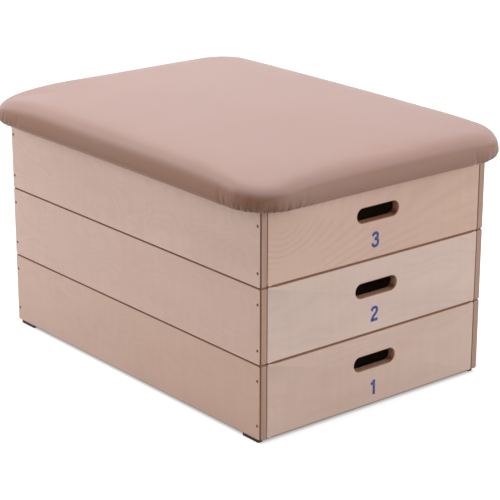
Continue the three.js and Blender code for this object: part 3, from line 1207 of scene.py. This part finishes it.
@dataclass
class CornerBlock:
    """A softwood corner block with a tapered tongue above the section's rim."""

    node: str
    level: int
    seed: float
    tongue_height: float = 25 * MILLIMETRE
    tongue_play: float = 2 * MILLIMETRE
    tongue_taper: float = 5 * MILLIMETRE
    eased: Rounding = Rounding(1.2 * MILLIMETRE, 2)
    sharp: float = 40.0

    def build(self) -> None:
        """Builds the block in place of its node."""
        box = Box.of(self.node)
        post = Box(box.low, box.high - self.tongue_height * Z_AXIS)
        mesh = bmesh.new()
        add_block(mesh, post.size, post.middle)
        top = max(mesh.faces, key=lambda face: face.calc_center_median().z)
        bmesh.ops.inset_region(mesh, faces=[top], thickness=self.tongue_play, use_even_offset=True)
        tip = vertices_of(bmesh.ops.extrude_face_region(mesh, geom=[top])["geom"])
        bmesh.ops.translate(mesh, vec=(0, 0, self.tongue_height), verts=tip)
        root_half = box.size.x / 2 - self.tongue_play
        share = (root_half - self.tongue_taper) / root_half
        about = Matrix.Translation((-box.middle.x, -box.middle.y, 0))
        bmesh.ops.scale(mesh, vec=(share, share, 1), verts=tip, space=about)
        bmesh.ops.recalc_face_normals(mesh, faces=mesh.faces)
        bevel(mesh, sharp_edges(mesh, self.sharp), self.eased)
        place = WoodPlace(tuple(box.low), tuple(Z_AXIS), tuple(X_AXIS), tuple(Y_AXIS))
        wood = SoftwoodBlock(place, self.seed).material(f"{self.node}_softwood")
        fitting = Fitting(f"section_{self.level}", "block_wood", wood, (self.node,))
        weigh_normals(add_piece(f"{self.node}_planed", mesh, fitting))


@dataclass(frozen=True)
class Figure:
    """The strokes of a printed figure, in millimetres from its middle, and how far it was set aside."""

    strokes: tuple[tuple[tuple[float, float], ...], ...]
    straight: tuple[bool, ...]
    aside: tuple[float, float]


FIGURES = {
    1: Figure((((-6.4, 7.6), (-1.4, 9.2), (2.2, 14.6)),
               ((2.2, 16.0), (2.2, -16.0))), (False, True), (8.4, -2.6)),
    2: Figure((((-7.2, 6.6), (-4.6, 12.0), (0.2, 13.3), (5.0, 11.8), (7.0, 7.4), (4.6, 1.6), (-2.4, -5.4),
                (-7.2, -13.2)),
               ((-9.2, -13.2), (9.0, -13.2))), (False, True), (0.4, 0.6)),
    3: Figure((((-6.8, 7.6), (-4.4, 12.2), (0.2, 13.4), (4.8, 12.0), (6.4, 7.8), (4.2, 3.0), (-1.6, 1.3)),
               ((-1.6, 1.3), (4.6, 0.1), (7.4, -6.2), (5.2, -11.6), (0.0, -13.4), (-5.0, -12.0),
                (-7.6, -7.0))), (False, False), (-2.4, 0.6)),
}


@dataclass
class PrintedNumber:
    """A section's number, printed on its end panel as a thin film of paint.

    The stroke's width, the film's thickness and the merging distance are in millimetres.
    """

    level: int
    stroke: float = 6.3
    film: float = 0.5
    proud: float = 0.1 * MILLIMETRE
    round_steps: int = 4
    bend_steps: int = 10
    merge: float = 0.01

    def strokes(self, name: str) -> bpy.types.Curve:
        """Draws the middle lines of the figure's strokes, in millimetres.

        Args:
            name: The curve's name.

        Returns:
            The curve.
        """
        curve = bpy.data.curves.new(name, "CURVE")
        curve.dimensions = "3D"
        curve.bevel_depth = self.stroke / 2
        curve.bevel_resolution = self.round_steps
        curve.resolution_u = self.bend_steps
        curve.use_fill_caps = True
        figure = FIGURES[self.level]
        for points, straight in zip(figure.strokes, figure.straight):
            spline = curve.splines.new("BEZIER")
            spline.bezier_points.add(len(points) - 1)
            for made, (across, up) in zip(spline.bezier_points, points):
                made.co = (0, across, up)
                made.handle_left_type = made.handle_right_type = "VECTOR" if straight else "AUTO"
        return curve

    def build(self, paint: bpy.types.Material) -> None:
        """Prints the number in place of its node.

        Args:
            paint: The number's finish.
        """
        node = f"section_{self.level}_number"
        drawn = linked(f"{node}_strokes", self.strokes(f"{node}_strokes"))
        bpy.context.view_layer.update()
        mesh = bmesh.new()
        mesh.from_mesh(drawn.to_mesh())
        drawn.to_mesh_clear()
        bpy.data.objects.remove(drawn)
        bmesh.ops.remove_doubles(mesh, verts=mesh.verts, dist=self.merge)
        flat = self.film / self.stroke * MILLIMETRE
        bmesh.ops.scale(mesh, vec=(flat, MILLIMETRE, MILLIMETRE), verts=mesh.verts)
        box = Box.of(node)
        aside, up = (part * MILLIMETRE for part in FIGURES[self.level].aside)
        middle = Vector((box.low.x + self.proud, box.middle.y + aside, box.middle.z + up))
        bmesh.ops.translate(mesh, vec=middle, verts=mesh.verts)
        add_piece(f"{node}_print", mesh, Fitting(f"section_{self.level}", "number_paint", paint, (node,)))


@dataclass
class Section:
    """One section: two side panels, two end panels, nails, a number and, below the top, corner blocks."""

    level: int
    has_blocks: bool
    side_veneer: Veneer
    end_veneer: Veneer
    seeds: tuple[float, float, float, float]

    def nails(self, side: Facing) -> list[str]:
        """The names of the nails in one side panel."""
        stem = f"section_{self.level}_nail_{side.word}"
        return [f"{stem}_{end.word}_{height}" for end in ENDS for height in ("low", "high")]

    def build(self, steel: bpy.types.Material, paint: bpy.types.Material) -> None:
        """Builds and dresses the section.

        Args:
            steel: The nails' finish.
            paint: The number's finish.
        """
        for side, seed in zip(SIDES, self.seeds[:2]):
            SidePanel(self.level, side, self.side_veneer, seed).build(self.nails(side))
            for nail in self.nails(side):
                Nail(nail, self.level, side).build(steel)
        for end, seed in zip(ENDS, self.seeds[2:]):
            EndPanel(self.level, end, self.end_veneer, seed).build()
        PrintedNumber(self.level).build(paint)
        for end, side in CORNERS if self.has_blocks else ():
            seed = self.seeds[0] + sum(end.value) + 3 * sum(side.value)
            node = f"section_{self.level}_block_{end.word}_{side.word}"
            CornerBlock(node, self.level, seed).build()


@dataclass
class RubberFoot:
    """A flat rubber foot with rounded corners and edges."""

    node: str
    corner: Rounding = Rounding(3 * MILLIMETRE, 5)
    rim: Rounding = Rounding(0.8 * MILLIMETRE, 3)

    def build(self, rubber: bpy.types.Material) -> None:
        """Builds the foot in place of its node.

        Args:
            rubber: The foot's finish.
        """
        mesh = rounded_plate(Box.of(self.node), Z_AXIS, self.corner, self.rim)
        fitting = Fitting("section_1", "foot_rubber", rubber, (self.node,))
        weigh_normals(add_piece(f"{self.node}_rubber", mesh, fitting))


@dataclass(frozen=True)
class Station:
    """One ring of the pad: how far in from its widest outline, how high, and how round its corners are."""

    inset: float
    height: float
    radius: float
    draw: float = 0.0


@dataclass(frozen=True)
class Pleat:
    """One gather of the cover beside a corner."""

    place: float
    width: float
    depth: float
    reach: float
    lean: float
    cutoff: float = 3.0

    def press(self, along: float, height: float) -> float:
        """Says how deep the gather is at a point.

        Args:
            along: How far the point lies from the corner, along the side.
            height: How far it lies above the hem.

        Returns:
            The depth.
        """
        off = (along - self.place - self.lean * height) / self.width
        fade = max(0.0, 1 - height / self.reach)
        eased = fade ** 2 * (3 - 2 * fade)
        return self.depth * math.exp(-(off ** 2)) * eased if abs(off) < self.cutoff else 0.0


@dataclass
class Gathers:
    """The gathers on each side of each corner of the pad, placed by chance, with lengths in millimetres."""

    seed: int = 11
    corner_sides: int = 8
    per_side: int = 8
    first: tuple[float, float] = (8, 16)
    widths: tuple[float, float] = (2.8, 4.6)
    depths: tuple[float, float] = (2.0, 3.8)
    reaches: tuple[float, float] = (28, 48)
    leans: tuple[float, float] = (0.1, 0.4)
    steps: tuple[float, float] = (9, 17)

    def rows(self) -> list[list[Pleat]]:
        """Places the gathers.

        Returns:
            A row of gathers for each side of each corner.
        """
        chance = random.Random(self.seed)
        rows = []
        for _ in range(self.corner_sides):
            row = []
            place = chance.uniform(*self.first) * MILLIMETRE
            for _ in range(self.per_side):
                ranges = (self.widths, self.depths, self.reaches)
                sizes = [chance.uniform(*limits) * MILLIMETRE for limits in ranges]
                row.append(Pleat(place, *sizes, chance.uniform(*self.leans)))
                place += chance.uniform(*self.steps) * MILLIMETRE
            rows.append(row)
        return rows


CLOTH = {
    "quality": 6,
    "mass": 0.4,
    "tension_stiffness": 40,
    "compression_stiffness": 40,
    "shear_stiffness": 20,
    "bending_stiffness": 4,
    "use_pressure": True,
    "uniform_pressure_force": 4,
}


@dataclass
class Pad:
    """The padded top: a crowned cushion of foam in leatherette, drawn round the top board's edge."""

    corner_radius: float = 90 * MILLIMETRE
    lower_round: float = 16 * MILLIMETRE
    edge_reach: float = 95 * MILLIMETRE
    side_draw: float = 2.5 * MILLIMETRE
    side_roll: float = 34 * MILLIMETRE
    end_roll: float = 44 * MILLIMETRE
    side_fullness: float = 2.45
    side_rise: float = 47 * MILLIMETRE
    corner_droops: tuple[float, ...] = (8 * MILLIMETRE, 11 * MILLIMETRE, 3 * MILLIMETRE, 17 * MILLIMETRE)
    corner_reach: float = 105 * MILLIMETRE
    dome: float = 7 * MILLIMETRE
    long_dome: float = 3 * MILLIMETRE
    square_share: float = 12.0
    hem_inset: float = 41 * MILLIMETRE
    hem_corner_radius: float = 10 * MILLIMETRE
    hem_thickness: float = 1.5 * MILLIMETRE
    board_clearance: float = 0.3 * MILLIMETRE
    tighten_share: float = 0.8
    cell: float = 7 * MILLIMETRE
    hem_rings: int = 4
    lower_rings: int = 5
    roll_rings: int = 17
    swell_frames: int = 20
    swell_cap: float = 1.8 * MILLIMETRE
    held_height: float = 2 * MILLIMETRE
    calm_reach: float = 150 * MILLIMETRE
    calm_share: float = 0.9
    least_swell: float = 0.1
    settle_rounds: int = 4
    settle_share: float = 0.5
    gather_height: float = 60 * MILLIMETRE
    gather_lift: float = 0.3
    gathers: Gathers = field(default_factory=Gathers)

    def __post_init__(self) -> None:
        """Reads the pad's box and lays out its rings."""
        box = Box.of("pad_cover")
        self.low = box.low
        self.half_length, self.half_width = box.size.x / 2, box.size.y / 2
        self.waist = self.low.z + self.lower_round
        self.stations = self.outer_stations()
        self.rings = len(self.stations) - 1
        self.columns, self.rows = (2 * (self.rings + round((half - self.edge_reach) / self.cell))
                                   for half in (self.half_length, self.half_width))

    def corner_at(self, inset: float) -> float:
        """The corner radius of a ring at an inset."""
        return max(self.corner_radius - self.tighten_share * inset, 0.0)

    def outer_stations(self) -> list[Station]:
        """Lays out the rings from the hem's inner edge, out under the pad and up to its shoulder.

        Returns:
            The rings, from the hem inwards to the top.
        """
        stations = []
        widened = self.corner_at(self.lower_round) - self.hem_corner_radius
        for step in range(self.hem_rings):
            share = step / self.hem_rings
            inset = self.hem_inset + (self.lower_round - self.hem_inset) * share
            stations.append(Station(inset, self.low.z, self.hem_corner_radius + widened * share))
        for step in range(self.lower_rings):
            angle = step / self.lower_rings * math.pi / 2
            inset = self.lower_round * (1 - math.sin(angle))
            height = self.waist - self.lower_round * math.cos(angle)
            stations.append(Station(inset, height, self.corner_at(inset), self.side_draw))
        for step in range(self.roll_rings + 1):
            angle = step / self.roll_rings * math.pi / 2
            inset = self.edge_reach * (1 - math.cos(angle))
            height = self.waist + self.side_rise * math.sin(angle)
            stations.append(Station(inset, height, self.corner_at(inset), self.side_draw * math.cos(angle)))
        return stations

    def ring_point(self, u: float, v: float, station: Station) -> Vector:
        """Finds a point of a ring.

        Args:
            u: Place along X on the rim of a square that reaches from -1 to 1.
            v: Place along Y on the rim of that square.
            station: The ring.

        Returns:
            The point.
        """
        halves = (self.half_length - station.inset, self.half_width - station.inset)
        across, along = (0, 1) if abs(u) >= abs(v) else (1, 0)
        run = abs((u, v)[along]) * halves[along]
        straight = halves[along] - station.radius
        if run <= straight:
            out, side = halves[across] - station.draw * (1 - (run / straight) ** 2), run
        else:
            angle = (run - straight) / station.radius * math.pi / 4
            out = halves[across] - station.radius * (1 - math.cos(angle))
            side = straight + station.radius * math.sin(angle)
        point = Vector((0, 0, station.height))
        point[across] = math.copysign(out, (u, v)[across])
        point[along] = math.copysign(side, (u, v)[along])
        return point

    def sheet_point(self, column: float, row: float) -> Vector:
        """Finds the point of the cover for a place on its flat grid, counted in cells from the middle.

        Args:
            column: The place along X.
            row: The place along Y.

        Returns:
            The point.
        """
        reach_x, reach_y = self.columns / 2, self.rows / 2
        ring = round(min(reach_x - abs(column), reach_y - abs(row)))
        if ring <= self.rings:
            station = self.stations[ring]
            point = self.ring_point(column / (reach_x - ring), row / (reach_y - ring), station)
            if ring > self.hem_rings + self.lower_rings:
                point.z = self.top_height(point, station.inset)
            return point
        u, v = column / (reach_x - self.rings), row / (reach_y - self.rings)
        rim = max(abs(u), abs(v))
        inner_x, inner_y = self.half_length - self.edge_reach, self.half_width - self.edge_reach
        point = Vector((u * inner_x, v * inner_y, 0))
        blend = max(0.0, 1 - self.square_share * (1 - rim))
        if blend > 0:
            rounded = self.ring_point(u / rim, v / rim, self.stations[-1])
            point = point.lerp(Vector((rounded.x * rim, rounded.y * rim, 0)), blend)
        inset = min(self.half_length - abs(point.x), self.half_width - abs(point.y))
        point.z = self.top_height(point, inset)
        return point

    def corner_number(self, point: Vector) -> int:
        """Numbers the corner that a point is nearest to, from 0 to 3."""
        return (2 if point.x < 0 else 0) + (1 if point.y < 0 else 0)

    def corner_distance(self, point: Vector) -> float:
        """How far a point lies in plan from the corner of the pad's box."""
        return math.hypot(self.half_length - abs(point.x), self.half_width - abs(point.y))

    def top_height(self, point: Vector, inset: float) -> float:
        """Works out the height of the cushion's upper side, with a domed middle and drooping corners.

        Args:
            point: The place in plan.
            inset: How far it lies in from the widest outline.

        Returns:
            The height.
        """
        past_x = max(abs(point.x) - self.half_length + self.edge_reach, 0.0)
        past_y = max(abs(point.y) - self.half_width + self.edge_reach, 0.0)
        end_share = past_x ** 2 / max(past_x ** 2 + past_y ** 2, MILLIMETRE ** 2)
        roll = self.side_roll + (self.end_roll - self.side_roll) * end_share
        short = 1 - min(inset / roll, 1.0)
        climbed = (1 - short ** self.side_fullness) ** (1 / self.side_fullness)
        near = math.exp(-((self.corner_distance(point) / self.corner_reach) ** 2))
        droop = self.corner_droops[self.corner_number(point)] * near
        u, v = point.x / self.half_length, point.y / self.half_width
        dome = self.dome * (1 - u ** 2) * (1 - v ** 2) + self.long_dome * (1 - u ** 2)
        return self.waist + (self.side_rise + dome - droop) * climbed

    def skin(self) -> bmesh.types.BMesh:
        """Lays the cover's sheet over the pad's form.

        Returns:
            The open sheet.
        """
        mesh = bmesh.new()
        bmesh.ops.create_grid(mesh, x_segments=self.columns, y_segments=self.rows, size=1.0)
        for vertex in mesh.verts:
            vertex.co = self.sheet_point(vertex.co.x * self.columns / 2, vertex.co.y * self.rows / 2)
        return mesh

    def line(self, mesh: bmesh.types.BMesh) -> None:
        """Closes the cushion round the top board: up the hem's edge, round the board and across its top.

        Args:
            mesh: The open skin. It becomes closed.
        """
        board = Box.of("top_board")
        overhang = self.half_length - board.high.x
        inset, corner = overhang - self.board_clearance, self.corner_radius - overhang + self.board_clearance
        ceiling, hem_top = board.high.z + self.board_clearance, self.low.z + self.hem_thickness
        stations = [
            Station(self.hem_inset, hem_top, self.hem_corner_radius),
            Station(inset, hem_top, corner),
            Station(inset, ceiling, corner),
            Station(2 * inset, ceiling, corner - self.tighten_share * inset),
        ]
        rim = [edge for edge in mesh.edges if edge.is_boundary]
        places = {vertex: self.rim_place(vertex.co) for edge in rim for vertex in edge.verts}
        for station in stations:
            grown = bmesh.ops.extrude_edge_only(mesh, edges=rim)["geom"]
            moved = {}
            for vertex in vertices_of(grown):
                source = next(edge.other_vert(vertex) for edge in vertex.link_edges
                              if edge.other_vert(vertex) in places)
                moved[vertex] = places[source]
                vertex.co = self.ring_point(*places[source], station)
            places = moved
            rim = [edge for edge in grown if isinstance(edge, bmesh.types.BMEdge) and edge.is_boundary]
        bmesh.ops.holes_fill(mesh, edges=rim, sides=0)
        bmesh.ops.recalc_face_normals(mesh, faces=mesh.faces)

    def rim_place(self, point: Vector) -> tuple[float, float]:
        """Finds a hem point's place on the rim of the square that reaches from -1 to 1.

        Args:
            point: The point.

        Returns:
            Its places along X and Y.
        """
        half_x, half_y = self.half_length - self.hem_inset, self.half_width - self.hem_inset
        radius = self.hem_corner_radius
        past_x, past_y = abs(point.x) - (half_x - radius), abs(point.y) - (half_y - radius)
        u, v = abs(point.x) / half_x, abs(point.y) / half_y
        if past_x > 0 and past_y > 0:
            eighths = math.atan2(past_y, past_x) / (math.pi / 4)
            u = min((half_x - radius + radius * (2 - eighths)) / half_x, 1.0)
            v = min((half_y - radius + radius * eighths) / half_y, 1.0)
        elif past_x > past_y:
            u = 1.0
        else:
            v = 1.0
        return math.copysign(u, point.x), math.copysign(v, point.y)

    def gather(self, mesh: bpy.types.Mesh) -> None:
        """Presses the gathers into the side near the corners.

        Args:
            mesh: The cushion's mesh, before it is closed.
        """
        rows = self.gathers.rows()
        centre_x, centre_y = self.half_length - self.corner_radius, self.half_width - self.corner_radius
        quarter = self.corner_radius * math.pi / 4
        board_top = Box.of("top_board").high.z
        normals = [vertex.normal.copy() for vertex in mesh.vertices]
        for vertex, normal in zip(mesh.vertices, normals):
            point = vertex.co
            height = point.z - self.low.z
            past_x, past_y = abs(point.x) - centre_x, abs(point.y) - centre_y
            inner = max(abs(point.x) / (self.half_length - self.hem_inset),
                        abs(point.y) / (self.half_width - self.hem_inset)) < 1.0
            if height > self.gather_height or (inner and point.z < board_top):
                continue
            if past_x > 0 and past_y > 0:
                place = (math.atan2(past_y, past_x) - math.pi / 4) * self.corner_radius
            elif past_x > past_y:
                place = -quarter + past_y
            else:
                place = quarter - past_x
            row = rows[2 * self.corner_number(point) + (1 if place > 0 else 0)]
            press = sum(pleat.press(abs(place), height) for pleat in row)
            vertex.co = point - Vector((normal.x, normal.y, self.gather_lift * normal.z)) * press

    def swell(self, piece: bpy.types.Object) -> None:
        """Lets the foam press the cover out a little, with the hem held, and keeps the result.

        Args:
            piece: The open skin's object.
        """
        rest = [vertex.co.copy() for vertex in piece.data.vertices]
        held = piece.vertex_groups.new(name="held")
        hem = [place for place, point in enumerate(rest) if point.z < self.low.z + self.held_height]
        held.add(hem, 1.0, "REPLACE")
        cloth = piece.modifiers.new("Cover", "CLOTH")
        for name, value in CLOTH.items():
            setattr(cloth.settings, name, value)
        cloth.settings.vertex_group_mass = held.name
        cloth.settings.effector_weights.gravity = 0
        cloth.collision_settings.use_collision = False
        scene = bpy.context.scene
        for step in range(self.swell_frames):
            scene.frame_set(step + 1)
        baked(piece)
        scene.frame_set(1)
        for vertex, before in zip(piece.data.vertices, rest):
            move = vertex.co - before
            near = math.exp(-((self.corner_distance(before) / self.calm_reach) ** 2))
            raised = min(max((before.z - self.low.z) / (2 * self.lower_round), self.least_swell), 1.0)
            cap = self.swell_cap * (1 - self.calm_share * near) * raised
            if move.length > cap:
                vertex.co = before + move * (cap / move.length)
        piece.vertex_groups.clear()
        mesh = bmesh.new()
        mesh.from_mesh(piece.data)
        top = [vertex for vertex in mesh.verts if vertex.co.z > self.waist + self.lower_round / 2]
        for _ in range(self.settle_rounds):
            bmesh.ops.smooth_vert(mesh, verts=top, factor=self.settle_share, use_axis_x=True,
                                  use_axis_y=True, use_axis_z=True)
        mesh.to_mesh(piece.data)
        mesh.free()

    def build(self, leatherette: bpy.types.Material) -> None:
        """Builds the cushion in place of the cover and the foam.

        Args:
            leatherette: The cover's finish.
        """
        sheet = mesh_object("pad_sheet", self.skin())
        self.swell(sheet)
        smooth = sheet.modifiers.new("Smooth", "SUBSURF")
        smooth.levels = smooth.render_levels = 1
        baked(sheet)
        self.gather(sheet.data)
        mesh = bmesh.new()
        mesh.from_mesh(sheet.data)
        bpy.data.objects.remove(sheet)
        self.line(mesh)
        fitting = Fitting("section_3", "leatherette", leatherette, ("pad_cover", "pad_foam"))
        add_piece("pad_cushion", mesh, fitting)


@dataclass
class HemStaples:
    """Wire staples that hold the cover's hem to the underside of the top board."""

    pad: Pad
    spacing: float = 42 * MILLIMETRE
    crown: float = 10 * MILLIMETRE
    wire: float = 1.1 * MILLIMETRE
    eased: Rounding = Rounding(0.33 * MILLIMETRE, 2)
    inset: float = 29 * MILLIMETRE

    def build(self, steel: bpy.types.Material) -> None:
        """Builds all the staples as one piece.

        Args:
            steel: The staples' finish.
        """
        mesh = bmesh.new()
        station = Station(self.inset, self.pad.low.z, self.pad.hem_corner_radius)
        for along, half in enumerate((self.pad.half_length, self.pad.half_width)):
            straight = half - self.pad.corner_radius
            count = int(2 * straight / self.spacing)
            size = Vector((self.wire,) * 3)
            size[along] = self.crown
            for outward in (-1, 1):
                for place in range(count):
                    reach = ((place + 0.5) / count * 2 - 1) * straight / (half - self.inset)
                    u, v = (reach, outward) if along == 0 else (outward, reach)
                    add_block(mesh, size, self.pad.ring_point(u, v, station))
        bevel(mesh, mesh.edges, self.eased)
        weigh_normals(add_piece("hem_staples", mesh, Fitting("section_3", "screw_steel", steel)))


@dataclass(frozen=True)
class Softbox:
    """A square lamp: its name, its place, the length of its side and its power in watts."""

    name: str
    place: Triple
    side: float
    power: float

    def hang(self, target: Triple) -> None:
        """Hangs the lamp.

        Args:
            target: What it faces.
        """
        light = bpy.data.lights.new(self.name, "AREA")
        light.size = self.side
        light.energy = self.power
        lamp = linked(self.name, light)
        lamp.location = self.place
        lamp.rotation_euler = (Vector(target) - Vector(self.place)).to_track_quat("-Z", "Y").to_euler()


@dataclass
class Studio:
    """A white floor that fades into a white surround, soft lamps and the camera."""

    floor_size: float = 30.0
    floor_shade: float = 0.5
    floor_lift: float = 0.75
    # Painted shade: the footprint of the box, where the floor is not lifted and stays darker.
    covered: tuple[float, float] = (0.435, 0.3)
    shade_reach: float = 0.02
    sky: float = 0.42
    camera_place: Triple = (2.930, -2.363, 1.490)
    azimuth: float = 50.77
    elevation: float = 18.60
    roll: float = 0.10
    lens: float = 131.2
    sensor: float = 36.0
    sight: float = 100.0
    target: Triple = (0.0, 0.0, 0.3)
    lamps: tuple[Softbox, ...] = (
        Softbox("overhead softbox", (-0.6, 0.0, 3.4), 2.8, 84),
        Softbox("left softbox", (-3.5, -3.5, 1.9), 2.8, 101),
        Softbox("front softbox", (8.2, 5.8, 2.9), 4.8, 424),
    )

    @staticmethod
    def seen(tree: Tree) -> Signal:
        """Tells where light goes to the camera, straight or by gloss or glass.

        Args:
            tree: The tree that asks.

        Returns:
            One for such light and zero for other light.
        """
        light = tree.node("LightPath").outputs
        kinds = ("Is Camera Ray", "Is Glossy Ray", "Is Transmission Ray")
        direct, glossy, through = (Signal(tree, light[kind]) for kind in kinds)
        return tree.maths("MAXIMUM", tree.maths("MAXIMUM", direct, glossy), through)

    def floor(self) -> None:
        """Lays the floor, which the camera sees as white wherever no shadow falls, but for the box's
        footprint, which is left darker as painted shade.
        """
        mesh = bmesh.new()
        bmesh.ops.create_grid(mesh, x_segments=1, y_segments=1, size=self.floor_size / 2)
        floor = mesh_object("studio_floor", mesh)
        material = bpy.data.materials.new("studio_floor")
        material.use_nodes = True
        material.node_tree.nodes.clear()
        tree = Tree(material.node_tree)
        place = tree.split(tree.vector("ABSOLUTE", tree.coordinate()))
        past_x, past_y = (tree.fit(way, edge - self.shade_reach, edge)
                          for way, edge in zip(place, self.covered))
        # Painted shade: inside the box's footprint the floor is not lifted, so it stays darker.
        lift = self.seen(tree) * tree.maths("MAXIMUM", past_x, past_y) * self.floor_lift
        diffuse = tree.read("BsdfDiffuse", 0, (self.floor_shade,) * 3 + (1,))
        glow = tree.read("Emission", 0, (1, 1, 1, 1), lift)
        tree.node("OutputMaterial", tree.read("AddShader", 0, diffuse, glow))
        floor.data.materials.append(material)

    def surround(self) -> None:
        """Lights everything softly and shows the camera white."""
        world = bpy.data.worlds.new("studio")
        bpy.context.scene.world = world
        world.use_nodes = True
        world.node_tree.nodes.clear()
        tree = Tree(world.node_tree)
        shade, white = (tree.read("Background", 0, (1, 1, 1, 1), strength) for strength in (self.sky, 1.0))
        tree.node("OutputWorld", tree.read("MixShader", 0, self.seen(tree), shade, white))

    def camera(self) -> None:
        """Sets the camera where the photograph was taken from."""
        data = bpy.data.cameras.new("camera")
        data.lens = self.lens
        data.sensor_width = self.sensor
        data.clip_end = self.sight
        camera = linked("camera", data)
        bpy.context.scene.camera = camera
        azimuth, elevation = math.radians(self.azimuth), math.radians(self.elevation)
        ahead = Vector((-math.sin(azimuth) * math.cos(elevation), math.cos(azimuth) * math.cos(elevation),
                        -math.sin(elevation)))
        camera.rotation_mode = "QUATERNION"
        camera.location = self.camera_place
        roll = Matrix.Rotation(math.radians(self.roll), 3, "Z")
        camera.rotation_quaternion = (ahead.to_track_quat("-Z", "Y").to_matrix() @ roll).to_quaternion()

    def build(self) -> None:
        """Builds the studio."""
        self.floor()
        self.surround()
        for lamp in self.lamps:
            lamp.hang(self.target)
        self.camera()
        bpy.context.scene.view_settings.view_transform = "Standard"


@dataclass
class TopBoard:
    """The board that carries the pad, and its screws, which keep their nodes."""

    veneer: Veneer = Veneer((196, 164, 138), pattern=Pattern(strength=0.4))
    layers: int = 11
    seed: float = 80.0

    def build(self, steel: bpy.types.Material) -> None:
        """Dresses the board and its screws.

        Args:
            steel: The screws' finish.
        """
        box = Box.of("top_board")
        place = WoodPlace((0.0, 0.0, box.low.z), tuple(X_AXIS), tuple(Y_AXIS), tuple(Z_AXIS))
        wood = BirchPlywood(self.veneer, place, box.size.z, self.seed, layers=self.layers)
        dress_node("top_board", wood.material("board_birch"))
        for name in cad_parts:
            if name.startswith("board_screw"):
                dress_node(name, steel)


def main() -> None:
    """Builds the studio and dresses the box, section by section."""
    Studio().build()
    steel = FastenerSteel().material("nail_steel")
    paint = NumberPaint().material("number_paint")
    nested = Pattern(0.0125, 3.0, 0.0, 0.3, 0.12, 0.55, (-0.245, 0.16, 0.0), 1.05)
    lively = Pattern(spacing=0.03, sway=15.0, flame_length=0.2, flame_width=0.11, strength=0.3)
    sections = [
        Section(1, True, Veneer((214, 182, 166), 1.1, lively), Veneer((218, 190, 176)),
                (3.1, 9.4, 15.2, 21.8)),
        Section(2, True, Veneer((219, 187, 174), 0.7, lively), Veneer((222, 198, 187), 0.4),
                (30.3, 36.9, 42.7, 48.1)),
        Section(3, False, Veneer((221, 190, 176), 0.0, lively), Veneer((218, 186, 170), 1.3, nested),
                (55.5, 61.2, 67.3, 73.9)),
    ]
    for section in sections:
        section.build(steel, paint)
    rubber = FootRubber().material("foot_rubber")
    for end, side in CORNERS:
        RubberFoot(f"foot_{end.word}_{side.word}").build(rubber)
    bright = FastenerSteel((176, 178, 180), (120, 96, 76), 0.3).material("screw_steel")
    TopBoard().build(bright)
    pad = Pad()
    pad.build(Leatherette().material("leatherette"))
    HemStaples(pad).build(bright)


if __name__ == "__main__":
    logging.basicConfig(level=logging.INFO, format="%(message)s")
    main()
